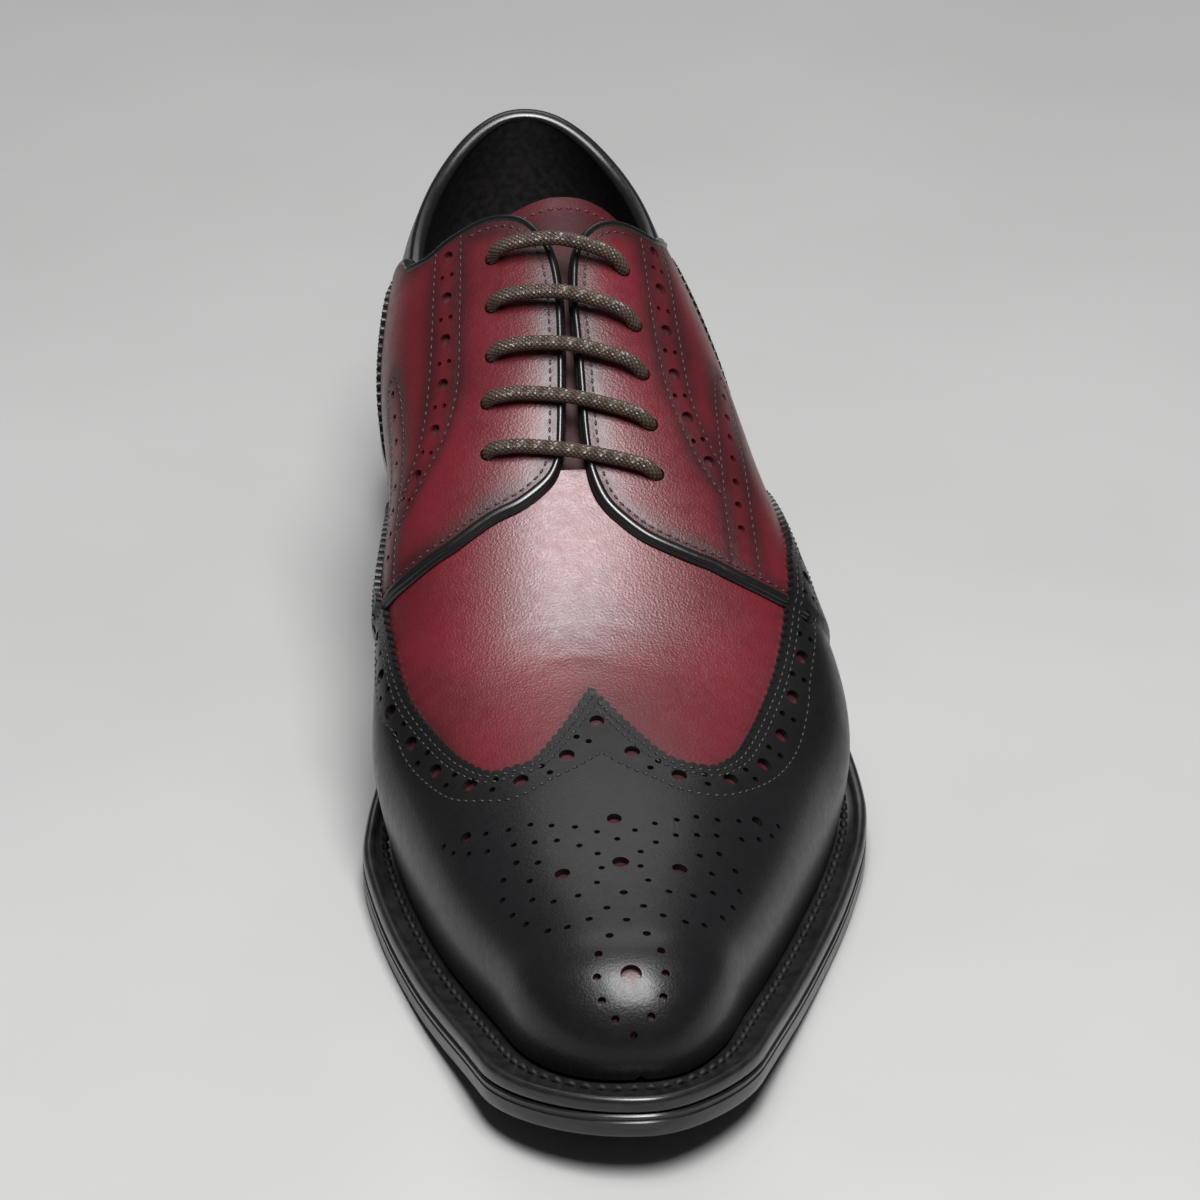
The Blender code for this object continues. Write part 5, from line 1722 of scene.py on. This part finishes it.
class ShoeSizes(bpy.types.PropertyGroup):
    """Sizes of the trimmings that a user would change."""

    thread: FloatProperty(name="Thread", description="Thickness of the sewing thread",
                          default=0.0005, min=0.0002, max=0.0012, unit="LENGTH")
    welt_thread: FloatProperty(name="Welt thread", description="Thickness of the welt's thread",
                               default=0.0015, min=0.0006, max=0.0025, unit="LENGTH")
    stitch: FloatProperty(name="Stitch", description="Length of a stitch on the uppers",
                          default=0.0019, min=0.001, max=0.004, unit="LENGTH")
    welt_stitch: FloatProperty(name="Welt stitch", description="Length of a stitch on the welt",
                               default=0.0031, min=0.002, max=0.006, unit="LENGTH")
    tooth: FloatProperty(name="Tooth", description="Width of a tooth of the pinked edges",
                         default=0.0021, min=0.001, max=0.004, unit="LENGTH")
    tooth_depth: FloatProperty(name="Tooth depth", description="Depth of the pinked edges' teeth",
                               default=0.00075, min=0.0002, max=0.0015, unit="LENGTH")
    cord: FloatProperty(name="Cord", description="Thickness of the lace", default=CORD_THICK,
                        min=0.002, max=0.0036, unit="LENGTH")


def shade_property(label, text, value):
    """A colour that the user can change."""
    return FloatVectorProperty(name=label, description=text, default=value, min=0.0, max=1.0,
                               size=3, subtype="COLOR")


class ShoeColours(bpy.types.PropertyGroup):
    """Colours of the leathers, the thread, the cord, the sole and the floor."""

    burgundy: shade_property("Burgundy", "Colour of the vamp and quarters", (0.120, 0.0085, 0.015))
    # Dark burgundy rubbed in along the seams; it is also painted as shade on the vamp under the wing cap
    # and on the tongue in the slit.
    burnish: shade_property("Burnish", "Colour rubbed in along the seams", (0.034, 0.004, 0.006))
    black: shade_property("Black", "Colour of the wing cap and counter", (0.0065, 0.0062, 0.007))
    deep_black: shade_property("Deep black", "Darkest black", (0.0045, 0.0042, 0.0045))
    backing: shade_property("Backing", "Leather seen through holes", (0.060, 0.020, 0.022))
    lining: shade_property("Lining", "Colour of the lining", (0.022, 0.018, 0.018))
    thread: shade_property("Thread", "Thread on black leather", (0.020, 0.018, 0.018))
    wine_thread: shade_property("Wine thread", "Thread on burgundy leather", (0.034, 0.015, 0.017))
    cord: shade_property("Cord", "Strands of the lace", (0.098, 0.066, 0.046))
    cord_shade: shade_property("Cord shade", "Worn strands of the lace", (0.058, 0.039, 0.028))
    # Painted shade between the strands of the lace.
    cord_gap_painted_shade: shade_property("Cord gap", "Between the strands of the lace", (0.010, 0.007, 0.005))
    sole_edge: shade_property("Sole edge", "Colour of the welt and sole", (0.016, 0.0145, 0.014))
    rubber: shade_property("Rubber", "Colour of the heel's top piece", (0.020, 0.020, 0.020))
    floor: shade_property("Floor", "Colour of the floor", (0.40, 0.40, 0.395))
    floor_shade: shade_property("Floor shade", "Second tone of the floor", (0.375, 0.375, 0.37))


class SHOE_OT_wing_cap(bpy.types.Operator):
    """Lays the punched and pinked wing cap over the toe"""
    bl_idname = "shoe.wing_cap"
    bl_label = "Wing Cap"

    def execute(self, context):
        lift = lap_lift()
        over = LEATHER_GAP + OVERLAY_THICK
        piece, rows = build_wing_cap(lift)
        dress(piece, finish("black_calf"), "black_leather", "wing_cap")
        sew("wing_stitches", "dark_thread", "black_leather", rows, context.scene.shoe_sizes.stitch,
            lambda along, offset: lift(along, offset) + over - 0.00012)
        return {"FINISHED"}


class SHOE_OT_vamp(bpy.types.Operator):
    """Lays the burgundy vamp, which runs under the wing cap and the facings"""
    bl_idname = "shoe.vamp"
    bl_label = "Vamp"

    def execute(self, context):
        dress(build_vamp(), finish("burgundy_calf"), "burgundy_leather", "upper")
        return {"FINISHED"}


class SHOE_OT_quarters(bpy.types.Operator):
    """Lays both quarters with their facings, stripes, bands and lace holes"""
    bl_idname = "shoe.quarters"
    bl_label = "Quarters"

    def execute(self, context):
        for side in (LATERAL, MEDIAL):
            piece, rows = build_quarter(side)
            dress(piece, finish("burgundy_calf"), "burgundy_leather")
            for backing in build_backings(side):
                dress(backing, finish("backing"), "burgundy_leather")
            sew("quarter_stitches_" + by_side(side), "wine_thread", "burgundy_leather", rows,
                context.scene.shoe_sizes.stitch, level(LAP_RISE - 0.0001))
        return {"FINISHED"}


class SHOE_OT_heel_counter(bpy.types.Operator):
    """Lays the two halves of the heel counter"""
    bl_idname = "shoe.heel_counter"
    bl_label = "Heel Counter"

    def execute(self, context):
        for side in (LATERAL, MEDIAL):
            piece, rows = build_counter(side)
            nodes = ("heel_counter",) if side == LATERAL else ()
            dress(piece, finish("black_calf"), "black_leather", *nodes)
            sew("counter_stitches_" + by_side(side), "dark_thread", "black_leather", rows,
                context.scene.shoe_sizes.stitch, level(LAP_RISE + COUNTER_THICK))
        return {"FINISHED"}


class SHOE_OT_tongue(bpy.types.Operator):
    """Lays the tongue under the facings"""
    bl_idname = "shoe.tongue"
    bl_label = "Tongue"

    def execute(self, context):
        piece, rows, face = build_tongue()
        dress(piece, finish("tongue_calf"), "burgundy_leather", "tongue")
        sew("tongue_stitches", "wine_thread", "burgundy_leather", rows, 0.0022,
            lambda along, offset: face(along, offset) - 0.0001)
        return {"FINISHED"}


class SHOE_OT_lining(bpy.types.Operator):
    """Lines the upper and dresses the insole"""
    bl_idname = "shoe.lining"
    bl_label = "Lining and Insole"

    def execute(self, context):
        dress(build_lining(), finish("lining"), "lining_leather")
        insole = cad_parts["insole"]
        insole.data.materials.clear()
        insole.data.materials.append(finish("lining"))
        return {"FINISHED"}


class SHOE_OT_edges(bpy.types.Operator):
    """Rolls black leather over the facings' edges and the collar"""
    bl_idname = "shoe.edges"
    bl_label = "Rolled Edges"

    def execute(self, context):
        for piece in build_bindings():
            dress(piece, finish("rolled_edge"), "black_leather")
        return {"FINISHED"}


class SHOE_OT_lace(bpy.types.Operator):
    """Runs the braided cord through the five pairs of holes"""
    bl_idname = "shoe.lace"
    bl_label = "Lace"

    def execute(self, context):
        dress(build_lace(), cord_finish(), "waxed_cord", "lace")
        return {"FINISHED"}


class SHOE_OT_welt(bpy.types.Operator):
    """Runs the welt round the sole and sews it"""
    bl_idname = "shoe.welt"
    bl_label = "Welt"

    def execute(self, context):
        piece, thread = build_welt(context.scene.shoe_sizes)
        dress(piece, finish("sole_edge"), "sole_leather", "welt")
        dress(thread, finish("welt_thread"), "sole_leather")
        return {"FINISHED"}


class SHOE_OT_outsole(bpy.types.Operator):
    """Cuts the outsole and finishes its edge"""
    bl_idname = "shoe.outsole"
    bl_label = "Outsole"

    def execute(self, context):
        dress(build_outsole(), finish("sole_edge"), "sole_leather", "outsole")
        return {"FINISHED"}


class SHOE_OT_heel(bpy.types.Operator):
    """Stacks the heel's lifts on the rubber top piece"""
    bl_idname = "shoe.heel"
    bl_label = "Heel"

    def execute(self, context):
        stack, top_piece = build_heel()
        dress(stack, finish("heel_lift"), "sole_leather", "heel_stack")
        dress(top_piece, finish("heel_rubber"), "heel_rubber", "heel_top_piece")
        return {"FINISHED"}


class SHOE_OT_stage(bpy.types.Operator):
    """Sets the floor, the studio lights and the camera"""
    bl_idname = "shoe.stage"
    bl_label = "Stage"

    def execute(self, context):
        build_stage(context)
        return {"FINISHED"}


OPERATORS = (SHOE_OT_vamp, SHOE_OT_wing_cap, SHOE_OT_quarters, SHOE_OT_heel_counter,
             SHOE_OT_tongue, SHOE_OT_lining, SHOE_OT_edges, SHOE_OT_lace, SHOE_OT_welt,
             SHOE_OT_outsole, SHOE_OT_heel, SHOE_OT_stage)


class SHOE_PT_panel(bpy.types.Panel):
    """Lists the shoe's pieces with their sizes and colours"""
    bl_label = "Two-tone Shoe"
    bl_idname = "SHOE_PT_panel"
    bl_space_type = "VIEW_3D"
    bl_region_type = "UI"
    bl_category = "Shoe"

    def draw(self, context):
        layout = self.layout
        for group in (context.scene.shoe_sizes, context.scene.shoe_colours):
            box = layout.box()
            for name in group.__annotations__:
                box.prop(group, name)
        for operator in OPERATORS:
            layout.operator(operator.bl_idname)


CLASSES = (ShoeSizes, ShoeColours) + OPERATORS + (SHOE_PT_panel,)


def register():
    """Makes the classes and the two groups of properties known."""
    for kind in CLASSES:
        bpy.utils.register_class(kind)
    bpy.types.Scene.shoe_sizes = PointerProperty(type=ShoeSizes)
    bpy.types.Scene.shoe_colours = PointerProperty(type=ShoeColours)


def unregister():
    """Takes the classes and the properties away again."""
    del bpy.types.Scene.shoe_colours
    del bpy.types.Scene.shoe_sizes
    for kind in reversed(CLASSES):
        bpy.utils.unregister_class(kind)


def aimed(place, aim):
    """The turn that looks from one point at another."""
    return (Vector(aim) - Vector(place)).to_track_quat("-Z", "Y").to_euler()


# Lamps: place, aim, width, length and power in watts
Lamp = namedtuple("Lamp", "name place aim wide long power")
LAMPS = (
    Lamp("overhead", (-0.10, -0.06, 1.30), (0.0, -0.02, 0.06), 0.40, 0.66, 5.0),
    Lamp("toe_window", (0.06, -0.44, 1.12), (0.0, -0.12, 0.05), 0.50, 0.70, 20.0),
    Lamp("ceiling", (0.1, 1.25, 1.45), (0.0, 0.0, 0.05), 1.30, 0.90, 5.0),
)
CAMERA_PLACE = (-0.09965, -1.135, 0.66)
CAMERA_AIM = (0.0, 0.0, 0.041)
CAMERA_LENS = 189.0


def build_stage(context):
    """Floor, studio world, lamps and the camera at the photo's angle."""
    bpy.ops.mesh.primitive_plane_add(size=8.0, location=(0, 0, 0))
    floor = context.object
    floor.name = "floor"
    floor.data.materials.append(finish("pale_floor"))
    world = bpy.data.worlds.new("studio")
    context.scene.world = world
    world.use_nodes = True
    sky = world.node_tree.nodes["Background"]
    sky.inputs["Color"].default_value = (0.90, 0.94, 1.0, 1)
    sky.inputs["Strength"].default_value = 0.08
    for lamp in LAMPS:
        bpy.ops.object.light_add(type="AREA", location=lamp.place,
                                 rotation=aimed(lamp.place, lamp.aim))
        light = context.object
        light.name = lamp.name
        light.data.shape = "ELLIPSE"
        light.data.size = lamp.wide
        light.data.size_y = lamp.long
        light.data.energy = lamp.power
    bpy.ops.object.camera_add(location=CAMERA_PLACE, rotation=aimed(CAMERA_PLACE, CAMERA_AIM))
    camera = context.object
    camera.data.lens = CAMERA_LENS
    camera.data.sensor_width = 36
    context.scene.camera = camera
    context.scene.view_settings.view_transform = "Standard"


def main():
    register()
    for operator in OPERATORS:
        group, name = operator.bl_idname.split(".")
        getattr(getattr(bpy.ops, group), name)()


if __name__ == "__main__":
    main()
